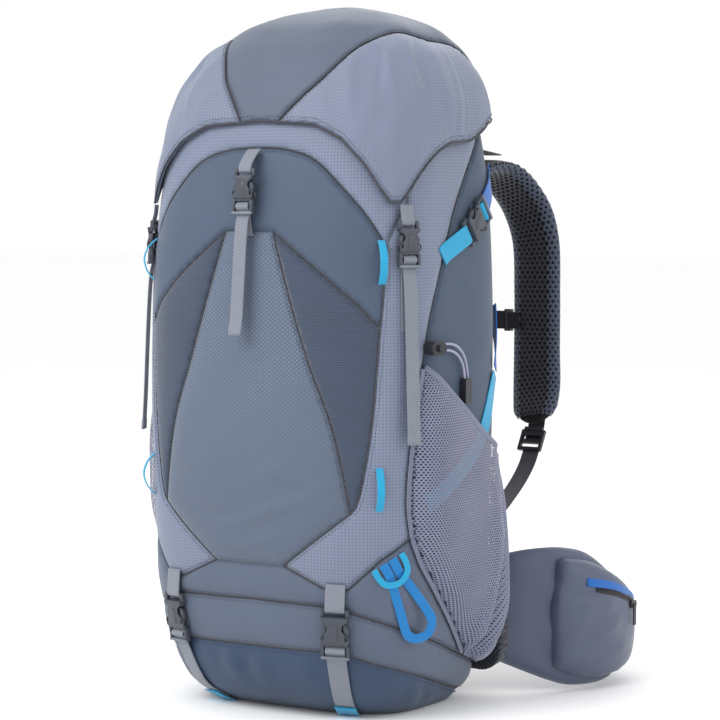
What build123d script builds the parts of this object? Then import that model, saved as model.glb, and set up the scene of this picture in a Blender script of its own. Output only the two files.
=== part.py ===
"""A 44-litre trekking pack: sewn bag, top lid, internal frame, harness, hip belt and buckles.

Frame: +Z up, -Y is the pack's outer face and +Y the wearer's side, +X the left-hand side of the wearer.
The origin is on the flat of the base that the pack stands on. All sizes are in millimetres.
"""

from build123d import *
import os
from math import cos, pi, radians, sin, tan

# ---- driving dimensions -------------------------------------------------------------------------
FABRIC = 2.5  # wall of the sewn bag, face fabric with lining
CLEAR = 0.4  # air left between pieces that only touch
MOUTH_Z = 560  # top edge of the packbag
SEAM_Z = 73  # seam between the base fabric and the walls
PANEL_X = 128  # half-width of the front and back panels
FRONT_POWER, BACK_POWER = 3.2, 5.0  # how square the front and the back half of a section are
WIDEST = 0.52  # where a section is widest, as a share of its depth from the front

# height, half-width, front face and back face of the filled bag
BAG = [
    (0, 113, -48, 100), (14, 128, -76, 108), (40, 141, -99, 113), (75, 150, -111, 115),
    (120, 156, -118, 116), (200, 160, -122, 116), (320, 163, -124, 117), (430, 161, -123, 119),
    (500, 156, -118, 120), (560, 148, -106, 120),
]
LID = [
    (480, 164, -127, 128), (560, 156, -113, 129), (600, 151, -97, 129), (640, 136, -72, 121),
    (670, 113, -45, 106), (690, 80, -12, 84), (700, 42, 16, 58),
]
LID_HEM_FRONT, LID_HEM_CORNER, LID_HEM_BACK = 583, 508, 598  # heights of the lid's lower edge
LID_CORNER = (143, -70)  # plan position of the two lid straps
LID_ZIP_Z = 617  # height of the zip across the back of the lid

NARROW_WEB, WEB, HIP_WEB = 15, 20, 38  # webbing widths
WEB_T = 1.4  # webbing thickness
RELEASE = 26  # how far a buckle's tongue draws out of its socket

BELT_CENTRE_Y = 240  # centre of the waist that the hip belt wraps
BELT_OUTER, BELT_INNER = (212, 142), (196, 126)  # half-axes of the belt's two faces
BELT_HINGE = (152, 158)  # where a belt wing leaves the lumbar pad
BELT_Z = 62  # middle height of the belt's webbing and buckle

HIP_ZIP_RUN = 60  # travel of a hip pocket slider along its zip

STRAP_T = 14  # thickness of a shoulder strap
# one shoulder strap from its root to its tip: centre x, y and z, width
STRAP = [
    (44, 127, 482, 50), (46, 160, 517, 54), (52, 205, 545, 60), (62, 252, 545, 62), (76, 288, 512, 58),
    (86, 300, 470, 55), (88, 301, 410, 54), (88, 301, 350, 54), (93, 292, 305, 54), (101, 272, 270, 44),
]
CORD_D = 2.6  # the shaft keeper's cord
# its two strands, from the cord lock to the pull
CORD_UPPER = [(165.0, -34, 370.5), (166.6, -20, 372.2), (168.6, -5, 369.5), (169.4, 6, 361), (169.6, 12.4, 349), (169.6, 14.6, 335.5)]
CORD_LOWER = [(165.0, -34, 365.0), (166.6, -21, 366.0), (168.4, -8, 363.0), (169.2, 1.4, 356), (169.6, 7, 346), (169.6, 8.8, 335.5)]
STERNUM_Z = 380  # height of the sternum strap at rest
LIFTER = [(66, 121.5, 571), (66, 252, 560)]  # a load lifter's two ends

os.makedirs("parts", exist_ok=True)


def save(name, *shapes):
    """Write one node's STEP file; several shapes become separate solids of one compound."""
    solids = [s for shape in shapes for s in shape.solids()]
    export_step(Compound(children=solids) if len(solids) > 1 else solids[0], f"parts/{name}.step")


def mirrored(shape):
    """The same piece on the other side of the pack."""
    return mirror(shape, about=Plane.YZ)


def block(x0, x1, y0, y1, z0, z1):
    """A box between two corners."""
    return Pos((x0 + x1) / 2, (y0 + y1) / 2, (z0 + z1) / 2) * Box(x1 - x0, y1 - y0, z1 - z0)


def section(station, grow=0.0, points=28):
    """A closed curve round the bag at one height: a superellipse, squarer at the back."""
    z, half, front, back = station
    half, front, back = half + grow, front - grow, back + grow
    middle = front + WIDEST * (back - front)
    outline = []
    for i in range(points):
        c, s = cos(2 * pi * i / points), sin(2 * pi * i / points)
        power = FRONT_POWER if s < 0 else BACK_POWER
        depth = (middle - front) if s < 0 else (back - middle)
        x = half * abs(c) ** (2 / power) * (1 if c >= 0 else -1)
        y = middle + depth * abs(s) ** (2 / power) * (1 if s >= 0 else -1)
        outline.append((x, y, z))
    return Wire([Edge.make_spline([Vector(*p) for p in outline], periodic=True)])


def lofted(stations, grow=0.0):
    """A smooth solid through the stations, each grown outwards by the same amount."""
    return Solid.make_loft([section(s, grow) for s in stations])


def between(stations, z):
    """The station at height z, worked out between its two neighbours."""
    for low, high in zip(stations, stations[1:]):
        if low[0] <= z <= high[0]:
            t = (z - low[0]) / (high[0] - low[0])
            return tuple(a + t * (b - a) for a, b in zip(low, high))
    raise ValueError(z)


def side_prism(outline, x0, x1):
    """A prism across the pack from an outline in the Y-Z plane."""
    face = Plane.YZ * make_face(Polyline(*outline, close=True))
    return Pos(x0, 0, 0) * extrude(face, x1 - x0)


def front_prism(outline, y0, y1):
    """A prism along the pack's depth from an outline in the X-Z plane."""
    face = Plane.XZ * make_face(Polyline(*outline, close=True))
    return Pos(0, y1, 0) * extrude(face, y1 - y0)


def skin(z, x=None, y=None, grow=0.0):
    """The point of the bag's skin at height z: on the front at x, or on the left side at y."""
    _, half, front, back = between(BAG, z)
    half, front, back = half + grow, front - grow, back + grow
    middle = front + WIDEST * (back - front)
    if y is None:
        return Vector(x, middle - (middle - front) * (1 - abs(x / half) ** FRONT_POWER) ** (1 / FRONT_POWER), z)
    power, depth = (FRONT_POWER, middle - front) if y < middle else (BACK_POWER, back - middle)
    return Vector(half * (1 - abs((y - middle) / depth) ** power) ** (1 / power), y, z)


def seated(z, up, x=None, y=None, grow=1.0, reach=6):
    """A place on the bag's skin: local Y runs along up, local X across it and local Z out of the skin.

    Reach is how far down the skin's slope is taken, so that a long strap lies along it.
    """
    here = skin(z, x, y, grow)
    above = skin(z + 6, x, y, grow) - skin(z - reach, x, y, grow)
    if y is None:
        beside = skin(z, x + 6, None, grow) - skin(z, x - 6, None, grow)
    else:
        beside = skin(z, None, y + 6, grow) - skin(z, None, y - 6, grow)
    out = beside.cross(above).normalized()
    along = Vector(*up)
    along = (along - out * along.dot(out)).normalized()
    return Plane(origin=here, x_dir=along.cross(out), z_dir=out).location


# ---- packbag ------------------------------------------------------------------------------------
def packbag():
    """The sewn bag as separate panels, each a closed solid of the fabric's own curved shape."""
    outer = lofted(BAG)
    hollow = [(FABRIC, *BAG[0][1:])] + BAG[1:] + [(MOUTH_Z + 10, *BAG[-1][1:])]
    shell = outer - lofted(hollow, -FABRIC)
    wide, top = 400, MOUTH_Z + 20
    save("base_panel", shell & block(-wide, wide, -wide, wide, -5, SEAM_Z))
    save("front_panel", shell & block(-PANEL_X, PANEL_X, -wide, 0, SEAM_Z, top))
    save("back_panel", shell & block(-PANEL_X, PANEL_X, 0, wide, SEAM_Z, top))
    save("side_panel_left", shell & block(PANEL_X, wide, -wide, wide, SEAM_Z, top))
    save("side_panel_right", shell & block(-wide, -PANEL_X, -wide, wide, SEAM_Z, top))


def collar():
    """The gathered extension collar that closes the bag's mouth under the lid."""
    low, mid, high = (MOUTH_Z, 147, -105, 119), (584, 138, -92, 112), (606, 124, -78, 102)
    wall = lofted([low, mid, high]) - lofted([(MOUTH_Z - 1, 147, -105, 119), mid, (607, 124, -78, 102)], -2)
    save("collar", wall)


def divider():
    """The drop-in floor between the main and the lower compartment, open along its front."""
    z, half, front, back = between(BAG, 132)
    plate = lofted([(z, half, front, back), (z + 3, half, front, back)], -FABRIC - 2)
    save("compartment_divider", plate & block(-400, 400, -52, 97, z - 1, z + 4))


def stretch_pocket():
    """The stretch pocket on the front, a closed slack layer over the front panel."""
    layer = lofted(BAG, 9) - lofted(BAG, 1)
    outline = [(-18, 467), (18, 467), (112, 360), (112, 235), (34, 157), (-34, 157), (-112, 235), (-112, 360)]
    save("stretch_pocket", layer & front_prism(outline, -160, -20))


def side_pocket():
    """A mesh bottle pocket: closed at its front, foot and back, open along its slanting top."""
    outer = [(-44, 350), (-56, 235), (-54, 178), (-18, 125), (40, 58), (110, 34), (110, 227), (98, 238)]
    inner = [(-41, 380), (-53, 234), (-51, 180), (-15, 127), (42, 62), (107, 38), (107, 380)]
    body = (lofted(BAG, 22) - lofted(BAG, 1.6)) & side_prism(outer, 60, 220)
    space = lofted(BAG, 19.5) & side_prism(inner, 60, 220)
    pocket = body - space
    save("side_pocket_left", pocket)
    save("side_pocket_right", mirrored(pocket))


# ---- frame --------------------------------------------------------------------------------------
def frame():
    """Plastic frame sheet, sprung wire hoop and flat stay, inside the back of the bag."""
    sheet = Pos(0, 104.6, 335) * Rot(90, 0, 0) * extrude(RectangleRounded(206, 430, 28), 1, both=True)
    save("frame_sheet", sheet)
    hoop = Plane.XZ * RectangleRounded(224, 440, 34)
    path = hoop.faces()[0].outer_wire().moved(Location((0, 100.6, 334)))
    start = Plane(origin=path @ 0, z_dir=path % 0)
    save("frame_hoop", sweep(start * Circle(2.5), path=path))
    save("frame_stay", Pos(0, 102, 334) * Box(22, 2.6, 400))


def back_padding():
    """The foam back pad with its two ridges, and the lumbar pad that the belt grows out of."""
    bag = lofted(BAG, CLEAR)
    pad = block(-104, 104, 90, 134, 178, 520) - block(-26, 26, 127, 200, 100, 600)
    pad = fillet(pad.edges().filter_by(Axis.Y).group_by(Axis.Z)[-1], 30)
    pad = pad - Solid.make_loft(strap_sections(2, 2)) - mirrored(Solid.make_loft(strap_sections(2, 2)))
    save("back_pad", pad - bag)
    lumbar = block(-150, 150, 112, 176, 24, 152)
    waist = Pos(0, BELT_CENTRE_Y, -10) * extrude(Ellipse(*BELT_INNER), 400)
    save("lumbar_pad", lumbar - waist - bag)


# ---- lid ----------------------------------------------------------------------------------------
def lid():
    """The top lid: a domed zip pocket whose skirt drops to two strap corners."""
    dome = lofted(LID)
    room = [
        (470, 159, -122, 123), (500, 158.6, -121, 123), (560, 150.5, -108.6, 122.6), (610, 140, -90, 113),
        (634, 100, -52, 85), (640, 60, -20, 60),
    ]
    skirt = dome - lofted(room)
    corner_x, corner_y = LID_CORNER
    arch = [(-200, 300), (-200, LID_HEM_CORNER)]
    for i in range(-8, 9):
        x = corner_x * i / 8
        arch.append((x, LID_HEM_FRONT - (LID_HEM_FRONT - LID_HEM_CORNER) * abs(i / 8) ** 2.2))
    arch += [(200, LID_HEM_CORNER), (200, 300)]
    slope = [(-200, 300), (-200, LID_HEM_CORNER), (corner_y - 14, LID_HEM_CORNER), (corner_y + 14, LID_HEM_CORNER)]
    slope += [(125, LID_HEM_BACK), (200, LID_HEM_BACK), (200, 300)]
    skirt = skirt - front_prism(arch, -250, 0) - side_prism(slope, -250, 250)
    save("lid_pocket", skirt)
    tape = block(-100, 100, 120, 129.4, LID_ZIP_Z - 3, LID_ZIP_Z + 3) - dome
    save("lid_zip", tape)
    seat = Plane(origin=(88, 129.9, LID_ZIP_Z), x_dir=(-1, 0, 0), z_dir=(0, 1, 0)).location
    save("lid_zip_slider", seat * zip_slider(pull=15))


def zip_slider(length=12, width=8, pull=22):
    """A zip slider with its pull: local X runs along the zip and local Z out of the fabric."""
    body = extrude(RectangleRounded(length, width, 2.5), 3.4)
    tab = Pos(0, -pull / 2, 3.9) * Box(5, pull, 1.6)
    return body + tab + Pos(0, -1, 3.6) * Box(3, 4, 2)


# ---- side-release buckles -----------------------------------------------------------------------
def socket(w):
    """A buckle socket for webbing of width w: two lips, open at both sides, and a webbing bar.

    Local Y runs away from the tongue; the tongue enters at y 0. Local Z is the thickness.
    """
    wide, deep, lip, gap = w + 9, w + 7, 1.9, 4.6
    waist = 0.30 * wide
    plate = make_face(
        Polyline(
            (-wide / 2, 0), (wide / 2, 0), (wide / 2, 0.18 * deep), (waist, 0.36 * deep), (waist, 0.6 * deep),
            (wide / 2, 0.8 * deep), (wide / 2, deep), (-wide / 2, deep), (-wide / 2, 0.8 * deep),
            (-waist, 0.6 * deep), (-waist, 0.36 * deep), (-wide / 2, 0.18 * deep), close=True,
        )
    )
    back = extrude(plate, lip)
    front = Pos(0, 0, lip + gap) * extrude(plate, lip)
    root = Pos(0, 0.9 * deep, lip + gap / 2) * Box(wide, 0.2 * deep, gap)
    loop = Pos(0, deep + 3.6, lip + 1.1) * (Box(wide, 7.2, 5.4) - Pos(0, -0.4, 0) * Box(w + 1.2, 4.0, 6))
    return back + front + root + loop


def tongue(w):
    """The matching tongue: two sprung arms with wings and a guide, on a ladder-lock frame."""
    wide, deep, lip, gap = w + 9, w + 7, 1.9, 4.6
    z, t = lip + gap / 2, gap - 0.6
    arm_x = 0.34 * wide
    frame_h = 15
    bars = Pos(0, -frame_h / 2 - 0.6, z) * Box(wide - 1, frame_h, 5.2)
    for y in (-4.6, -11.2):
        bars -= Pos(0, y, z) * Box(w + 1.2, 4.2, 8)
    arms = Pos(0, 0, z) * Box(wide - 4, 2.4, t)
    for side in (-1, 1):
        arms += Pos(side * arm_x, 0.38 * deep, z) * Box(2.6, 0.76 * deep, t)
        wing = make_face(
            Polyline((arm_x, 0.3 * deep), (wide / 2 - 0.4, 0.42 * deep), (wide / 2 - 0.4, 0.62 * deep),
                     (arm_x, 0.76 * deep), close=True)
        )
        wing = Pos(0, 0, z - t / 2) * extrude(wing, t)
        arms += wing if side > 0 else mirror(wing, about=Plane.YZ)
    guide = Pos(0, 0.3 * deep, z) * Box(3, 0.6 * deep, t)
    return bars + arms + guide


def strip(w, y0, y1, z):
    """A flat run of webbing in a buckle's own frame."""
    return Pos(0, (y0 + y1) / 2, z) * Box(w, abs(y1 - y0), WEB_T)


def buckle_stub(w, length):
    """The short webbing between a socket's bar and the seam that it is sewn into."""
    return strip(w, w + 14.2, w + 14.2 + length, 3.0)


def tail(w, length):
    """The free end of a strap, up through the ladder lock and down over the skin."""
    return strip(w, -16.4 - length, -3.7, 7.6) + Pos(0, -4.6, 4.5) * Box(w, 1.8, 5.6)


def anchor(w, length):
    """The sewn end of a strap, flat on the skin behind its tail."""
    return strip(w, -20 - length, -20, 0.7)


def ribbon(route, x, w):
    """Webbing that follows a route of (y, z) points in the pack's side view, centred on x."""
    outer, inner = [], []
    for i, here in enumerate(route):
        a, b = Vector(*route[max(i - 1, 0)]), Vector(*route[min(i + 1, len(route) - 1)])
        run = (b - a).normalized() * (WEB_T / 2)
        outer.append((here[0] - run.Y, here[1] + run.X))
        inner.append((here[0] + run.Y, here[1] - run.X))
    return side_prism(outer + inner[::-1], x - w / 2, x + w / 2)


# each buckle's mouth: its place on the skin, the way up its strap, its webbing width and lengths
PLACES = {
    "front": dict(z=513, x=0, up=(0, 0, 1), grow=8.5, reach=110, w=NARROW_WEB, stub=13, tail=118),
    "lid": dict(z=462, y=-70, up=(0, 0, 1), grow=1.8, reach=150, w=NARROW_WEB, stub=15.5, tail=170),
    "base": dict(z=83, x=94, up=(0.02, 0, 1), grow=2.0, reach=6, w=WEB, stub=13, tail=0),
    "side": dict(z=496, y=50, up=(0, -0.82, -0.57), grow=1.6, reach=6, w=WEB, stub=12, tail=0),
}
BOTH_SIDES = ("lid", "base", "side")


def buckles():
    """Sockets, tongues and webbing of the seven buckles on the bag and the lid."""
    sockets, stubs = {}, {}
    for name, p in PLACES.items():
        place = seated(p["z"], p["up"], p.get("x"), p.get("y"), p["grow"], p["reach"])
        w = p["w"]
        sockets[name] = place * socket(w)
        stubs[name] = place * buckle_stub(w, p["stub"])
        latch, free = place * tongue(w), place * tail(w, p["tail"])
        sides = {"_left": lambda s: s, "_right": mirrored} if name in BOTH_SIDES else {"": lambda s: s}
        for side, turned in sides.items():
            save(f"{name}_tongue{side}", turned(latch))
            if p["tail"]:
                save(f"{name}_strap_tail{side}", turned(free))
        if name == "front":
            front_anchor = place * anchor(w, 7)
        if name == "lid":
            lid_anchor = place * anchor(w, 60)
    save("lid_sockets", sockets["lid"], mirrored(sockets["lid"]))
    save("lid_corner_webbing", stubs["lid"], mirrored(stubs["lid"]))
    fixed = [s for n in ("base", "side") for s in (sockets[n], mirrored(sockets[n]))]
    loops = [s for n in ("base", "side") for s in (stubs[n], mirrored(stubs[n]))]
    save("bag_sockets", sockets["front"], *fixed)
    save("socket_webbing", stubs["front"], *loops)
    x = PLACES["base"]["x"]
    sole = ribbon([(skin(z, x=x - WEB / 2, grow=3.5).Y, z) for z in (40, 34, 28, 22)], x, WEB)
    save("anchor_webbing", front_anchor, lid_anchor, mirrored(lid_anchor), sole, mirrored(sole))


# ---- harness ------------------------------------------------------------------------------------
def strap_sections(grow_w=0.0, grow_t=0.0):
    """The rectangles that a shoulder strap is lofted through, root first."""
    wires = []
    for i, (x, y, z, w) in enumerate(STRAP):
        before, after = Vector(*STRAP[max(i - 1, 0)][:3]), Vector(*STRAP[min(i + 1, len(STRAP) - 1)][:3])
        run = after - before
        run = Vector(0.3 * run.X, run.Y, run.Z).normalized()
        plane = Plane(origin=(x, y, z), x_dir=Vector(0, 1, 0).cross(run) if abs(run.Y) < 0.7 else (1, 0, 0), z_dir=run)
        if plane.x_dir.X < 0:
            plane = Plane(origin=(x, y, z), x_dir=plane.x_dir * -1, z_dir=run)
        wires.append((plane * RectangleRounded(w + grow_w, STRAP_T + grow_t, 5)).faces()[0].outer_wire())
    return wires


def harness():
    """The shoulder straps, their load lifters, ladder locks and lower webbing."""
    strap = Solid.make_loft(strap_sections())
    save("shoulder_strap_left", strap)
    save("shoulder_strap_right", mirrored(strap))
    (x0, y0, z0), (x1, y1, z1) = LIFTER
    lifter = ribbon([(y0, z0), (y1 - 8, z1 + 0.6)], x0, WEB)
    lifter = lifter & block(0, 200, y0, y1, 500, 600)
    lock = Pos(104, 261.5, 252) * Rot(60, 0, 0) * ladder_lock(WEB)
    save("strap_ladder_locks", lock, mirrored(lock))
    lower = ribbon([(255, 239), (222, 206), (180, 180), (150, 168), (118, 160)], 106, WEB)
    save("harness_webbing", lifter, mirrored(lifter), lower, mirrored(lower))


def ladder_lock(w):
    """A three-bar webbing adjuster: local Y runs along the webbing."""
    lock = Box(w + 8, 24, 4)
    for y in (-6, 3):
        lock -= Pos(0, y, 0) * Box(w + 1.5, 4.5, 8)
    return lock + Pos(0, 13, 2) * Box(w + 2, 4, 2)


def haul_loop():
    """The grab loop at the top of the back, a band that stands out from the panel."""
    ring = Ellipse(36, 40) - Ellipse(33.5, 37.5)
    band = Pos(0, 120.8, 532) * extrude(ring & Pos(0, 30, 0) * Rectangle(90, 60), 18)
    save("haul_loop", band)


def sternum():
    """The sternum strap: a slider clipped round each shoulder strap's inner edge, webbing and buckle."""
    x, y, z = STRAP[6][0], STRAP[6][1], STERNUM_Z
    edge = x - STRAP[6][3] / 2
    inner = STRAP_T / 2 + 0.8
    clip = block(edge - 5, edge + 9, y - inner - 2, y + inner + 2, z - 9, z + 9)
    clip -= block(edge - 1.5, edge + 20, y - inner, y + inner, z - 20, z + 20)
    bar = block(edge - 12, edge - 5, y - 4, y + 4, z - 12, z + 12)
    bar -= block(edge - 10, edge - 6.5, y - 9, y + 9, z - 10.4, z + 10.4)
    save("sternum_sliders", clip + bar, mirrored(clip + bar))
    left = block(34.4, edge - 12, y - WEB_T / 2, y + WEB_T / 2, z - WEB / 2, z + WEB / 2)
    right = block(-(edge - 12), -46, y - WEB_T / 2, y + WEB_T / 2, z - WEB / 2, z + WEB / 2)
    save("sternum_webbing", left, right)
    place = sternum_place(z)
    save("sternum_socket", place * socket(WEB))
    save("sternum_tongue", place * tongue(WEB))


def sternum_place(z):
    """The sternum buckle's frame: its strap runs across the wearer's chest."""
    return Plane(origin=(0, STRAP[6][1] - 4.2, z), x_dir=(0, 0, 1), z_dir=(0, 1, 0)).location


# ---- hip belt -----------------------------------------------------------------------------------
def belt_ring(grow_out=0.0, grow_in=0.0):
    """The belt's full oval wall, tall enough to cut wings and webbing from."""
    outer = Ellipse(BELT_OUTER[0] + grow_out, BELT_OUTER[1] + grow_out)
    inner = Ellipse(BELT_INNER[0] + grow_in, BELT_INNER[1] + grow_in)
    return Pos(0, BELT_CENTRE_Y, 0) * extrude(outer - inner, 220)


def hip_belt():
    """The two foam wings with their zip pockets, the webbing at their tips and the buckle."""
    tip_y = 338
    wing = belt_ring() & block(60, 260, BELT_HINGE[1] + 4, tip_y, 0, 220)
    outline = [
        (BELT_HINGE[1], 22), (188, 2.5), (235, 2.5), (300, 14), (tip_y + 2, 38), (tip_y + 2, 86), (300, 92),
        (262, 108), (222, 134), (190, 150), (BELT_HINGE[1], 152),
    ]
    wing = wing & side_prism(outline, 0, 260)
    save("hip_wing_left", wing)
    save("hip_wing_right", mirrored(wing))
    pouch = belt_ring(13, 16.6) & side_prism([(182, 30), (286, 30), (286, 78), (262, 96), (182, 120)], 0, 260)
    save("hip_pocket_left", pouch)
    save("hip_pocket_right", mirrored(pouch))
    z0, z1 = BELT_Z - HIP_WEB / 2, BELT_Z + HIP_WEB / 2
    band = belt_ring(-7.3, 7.3) & block(0, 260, tip_y + 0.4, 400, z0, z1)
    socket_end = HIP_WEB + 14.2
    save("hip_webbing_left", band & block(socket_end, 260, 200, 400, 0, 200))
    far = mirrored(band) & block(-260, -(19 + RELEASE + 2), 200, 400, 0, 200)
    save("hip_webbing_right", far)
    place = belt_place()
    save("hip_socket", place * socket(HIP_WEB))
    save("hip_tongue", place * tongue(HIP_WEB))
    pull = hip_zip_place() * zip_slider()
    save("hip_zip_slider_left", pull)
    save("hip_zip_slider_right", mirrored(pull))


def belt_place():
    """The hip buckle's frame: its strap runs across the wearer's waist."""
    front = BELT_CENTRE_Y + (BELT_OUTER[1] + BELT_INNER[1]) / 2 - 4.2
    return Plane(origin=(0, front, BELT_Z), x_dir=(0, 0, 1), z_dir=(0, 1, 0)).location


def hip_zip_place():
    """Where the hip pocket's slider rests, on the pocket's outer face."""
    return Plane(origin=(BELT_OUTER[0] + 13.6, 262, 84), x_dir=(0, 1, 0), z_dir=(1, 0, 0)).location


# ---- small pieces on the bag --------------------------------------------------------------------
def gear_loops():
    """Four thin cord loops for lashing, standing at the front panel's edges."""
    loops = []
    for z, y in ((452, -92), (228, -95)):
        base = seated(z, (0, 0, 1), y=y, grow=1.6)
        arc = base * (Rot(0, 90, 0) * Torus(14, 1.6))
        cut = base * Pos(0, 0, 30) * Box(60, 60, 60)
        loops += [arc & cut, mirrored(arc & cut)]
    save("gear_loops", *loops)


def axe_loop():
    """The ice-axe loop: webbing that hangs from the gore's lower seam, with a band round its top."""
    place = axe_place()
    hang = Pos(0, -37, 1.6) * (Box(24, 66, WEB_T) - Pos(0, 0, 0) * Box(9, 56, 4))
    save("axe_loop", place * hang)
    save("axe_keeper", place * Pos(0, 4, 1.6) * Box(32, 13, 2.4))


def axe_place():
    """The axe loop's frame: local X is its hinge line and the webbing hangs along local -Y."""
    return seated(150, (0, -0.56, 0.82), y=-80, grow=1.4, reach=50)


def shaft_keeper():
    """The elastic shaft keeper: a cord lock with a button, two cord strands and their pull."""
    place = keeper_place()
    body = extrude(SlotOverall(22, 13), 11) - Pos(0, 0, 1.4) * extrude(Circle(3.6), 12)
    save("toggle_body", place * (Rot(0, 0, 90) * body))
    save("toggle_button", place * (Pos(0, 0, 5) * extrude(Circle(3.5), 9)))
    save("keeper_cord_upper", cord(CORD_UPPER))
    save("keeper_cord_lower", cord(CORD_LOWER))
    x, y, z = CORD_LOWER[-1]
    pull = block(x - 3.2, x + 3.2, y - 3, y + 8.5, z - 24, z + 0.8)
    save("cord_pull", fillet(pull.edges().filter_by(Axis.X), 3))


def keeper_place():
    """The cord lock's frame: local Z is the way its button travels."""
    return seated(368, (0, -1, 0.08), y=-42, grow=1.2)


def cord(route):
    """A limp cord: straight runs joined by the largest tangent arcs that the runs leave room for."""
    points = [Vector(*p) for p in route]
    runs = [b - a for a, b in zip(points, points[1:])]
    radii = []
    for a, b in zip(runs, runs[1:]):
        half_turn = radians(a.get_angle(b)) / 2
        radii.append(0.45 * min(a.length, b.length) / tan(half_turn))
    print("cord radii", [round(r, 1) for r in radii])
    path = FilletPolyline(*points, radius=radii)
    start = Plane(origin=path @ 0, z_dir=path % 0)
    return sweep(start * Circle(CORD_D / 2), path=path)


# ---- run ----------------------------------------------------------------------------------------
packbag()
collar()
divider()
stretch_pocket()
side_pocket()
frame()
back_padding()
lid()
buckles()
harness()
haul_loop()
sternum()
hip_belt()
gear_loops()
axe_loop()
shaft_keeper()
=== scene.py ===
# %% [markdown]
# # A trekking pack, sewn piece by piece
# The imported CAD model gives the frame: every buckle, joint and size. This lesson dresses it the way the real pack is
# made, from flat cut panels that are sewn edge to edge, filled and stitched. Sizes in the pack's own shape are in
# millimetres, as a pattern cutter works, and become metres when a mesh is made.

# %% Load the frame
from math import cos, pi, radians, sin

import bpy
import numpy as np
from mathutils import Matrix, Vector, noise
from mathutils.geometry import delaunay_2d_cdt


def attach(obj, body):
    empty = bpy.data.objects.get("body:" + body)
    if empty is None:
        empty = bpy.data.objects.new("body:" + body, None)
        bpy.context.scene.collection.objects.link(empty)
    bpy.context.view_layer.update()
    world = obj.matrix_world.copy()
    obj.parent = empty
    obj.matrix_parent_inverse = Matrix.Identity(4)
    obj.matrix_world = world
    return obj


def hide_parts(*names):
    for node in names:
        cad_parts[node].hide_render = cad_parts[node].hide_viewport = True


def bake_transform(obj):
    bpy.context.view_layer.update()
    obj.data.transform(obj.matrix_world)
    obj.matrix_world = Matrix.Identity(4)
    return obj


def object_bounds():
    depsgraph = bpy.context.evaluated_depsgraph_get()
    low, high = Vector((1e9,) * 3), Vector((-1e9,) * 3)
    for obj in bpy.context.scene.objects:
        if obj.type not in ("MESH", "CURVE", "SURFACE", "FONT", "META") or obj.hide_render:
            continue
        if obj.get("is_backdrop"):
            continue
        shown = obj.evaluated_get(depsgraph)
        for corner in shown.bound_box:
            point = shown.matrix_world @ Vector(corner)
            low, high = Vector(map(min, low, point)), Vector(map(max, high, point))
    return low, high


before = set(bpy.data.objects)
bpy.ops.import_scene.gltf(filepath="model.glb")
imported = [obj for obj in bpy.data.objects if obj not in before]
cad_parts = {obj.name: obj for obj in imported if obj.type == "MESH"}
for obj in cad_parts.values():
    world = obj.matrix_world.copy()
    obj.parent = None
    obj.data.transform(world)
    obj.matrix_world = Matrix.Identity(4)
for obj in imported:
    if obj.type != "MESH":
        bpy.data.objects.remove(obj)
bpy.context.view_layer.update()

MM = 0.001
SIDES = (("left", 1), ("right", -1))

# %% [markdown]
# ## Camera, light and floor
# The camera comes first, because cords are judged in its view. It stands a little above the ground and looks at the
# front and the left-hand side of the pack from far away, so that upright lines stay upright.

# %% Camera, lights and floor
def direction(azimuth, elevation):
    """The way from the pack towards a stand; azimuth 0 is straight in front."""
    a, e = radians(azimuth), radians(elevation)
    return Vector((sin(a) * cos(e), -cos(a) * cos(e), sin(e)))


def camera(azimuth, elevation, distance, aim_height, lens, shift):
    """Stands a camera round the pack and points it at the pack's axis."""
    back = direction(azimuth, elevation)
    cam = bpy.data.objects.new("camera", bpy.data.cameras.new("camera"))
    bpy.context.scene.collection.objects.link(cam)
    cam.data.lens, cam.data.sensor_width, cam.data.shift_x = lens, 36, shift
    cam.location = Vector((0, 0, aim_height)) + back * distance
    cam.rotation_euler = (-back).to_track_quat("-Z", "Y").to_euler()
    cam.data.clip_end = 50
    bpy.context.scene.camera = cam


def softbox(name, azimuth, elevation, distance, size, power):
    """A square area light that faces the middle of the pack."""
    away = direction(azimuth, elevation)
    light = bpy.data.objects.new(name, bpy.data.lights.new(name, "AREA"))
    bpy.context.scene.collection.objects.link(light)
    light.data.size, light.data.energy = size, power
    light.location = Vector((0, 0, 0.35)) + away * distance
    light.rotation_euler = (-away).to_track_quat("-Z", "Y").to_euler()


camera(azimuth=34, elevation=3.5, distance=2.6, aim_height=0.349, lens=127.5, shift=0.0595)
softbox("key_light", azimuth=-20, elevation=42, distance=2.2, size=1.5, power=30)
softbox("side_light", azimuth=95, elevation=25, distance=2.2, size=1.6, power=9)
softbox("rim_light", azimuth=200, elevation=40, distance=2.4, size=1.6, power=14)
world = bpy.data.worlds.new("studio")
world.use_nodes = True
world.node_tree.nodes["Background"].inputs["Color"].default_value = (1.0, 1.0, 1.0, 1)
world.node_tree.nodes["Background"].inputs["Strength"].default_value = 1.0
bpy.context.scene.world = world
bpy.context.scene.view_settings.view_transform = "Standard"

bpy.ops.object.select_all(action="DESELECT")
bpy.ops.mesh.primitive_plane_add(size=40, location=(0, 0, 0))
floor = bpy.context.object
floor.name = "floor"
paper = bpy.data.materials.new("studio_paper")
paper.use_nodes = True
paper.node_tree.nodes["Principled BSDF"].inputs["Base Color"].default_value = (0.98, 0.98, 0.98, 1)
paper.node_tree.nodes["Principled BSDF"].inputs["Roughness"].default_value = 0.9
floor.data.materials.append(paper)
floor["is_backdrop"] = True

# %% [markdown]
# ## The pack's skin
# A filled pack is a soft box: rounder at the front, squarer at the back where the frame sheet keeps it flat. Its
# sections are superellipses, the same ones that the CAD model is lofted through. A panel is drawn flat, in
# millimetres: across is the distance round the pack from the middle of its front, and up is the height.

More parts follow.
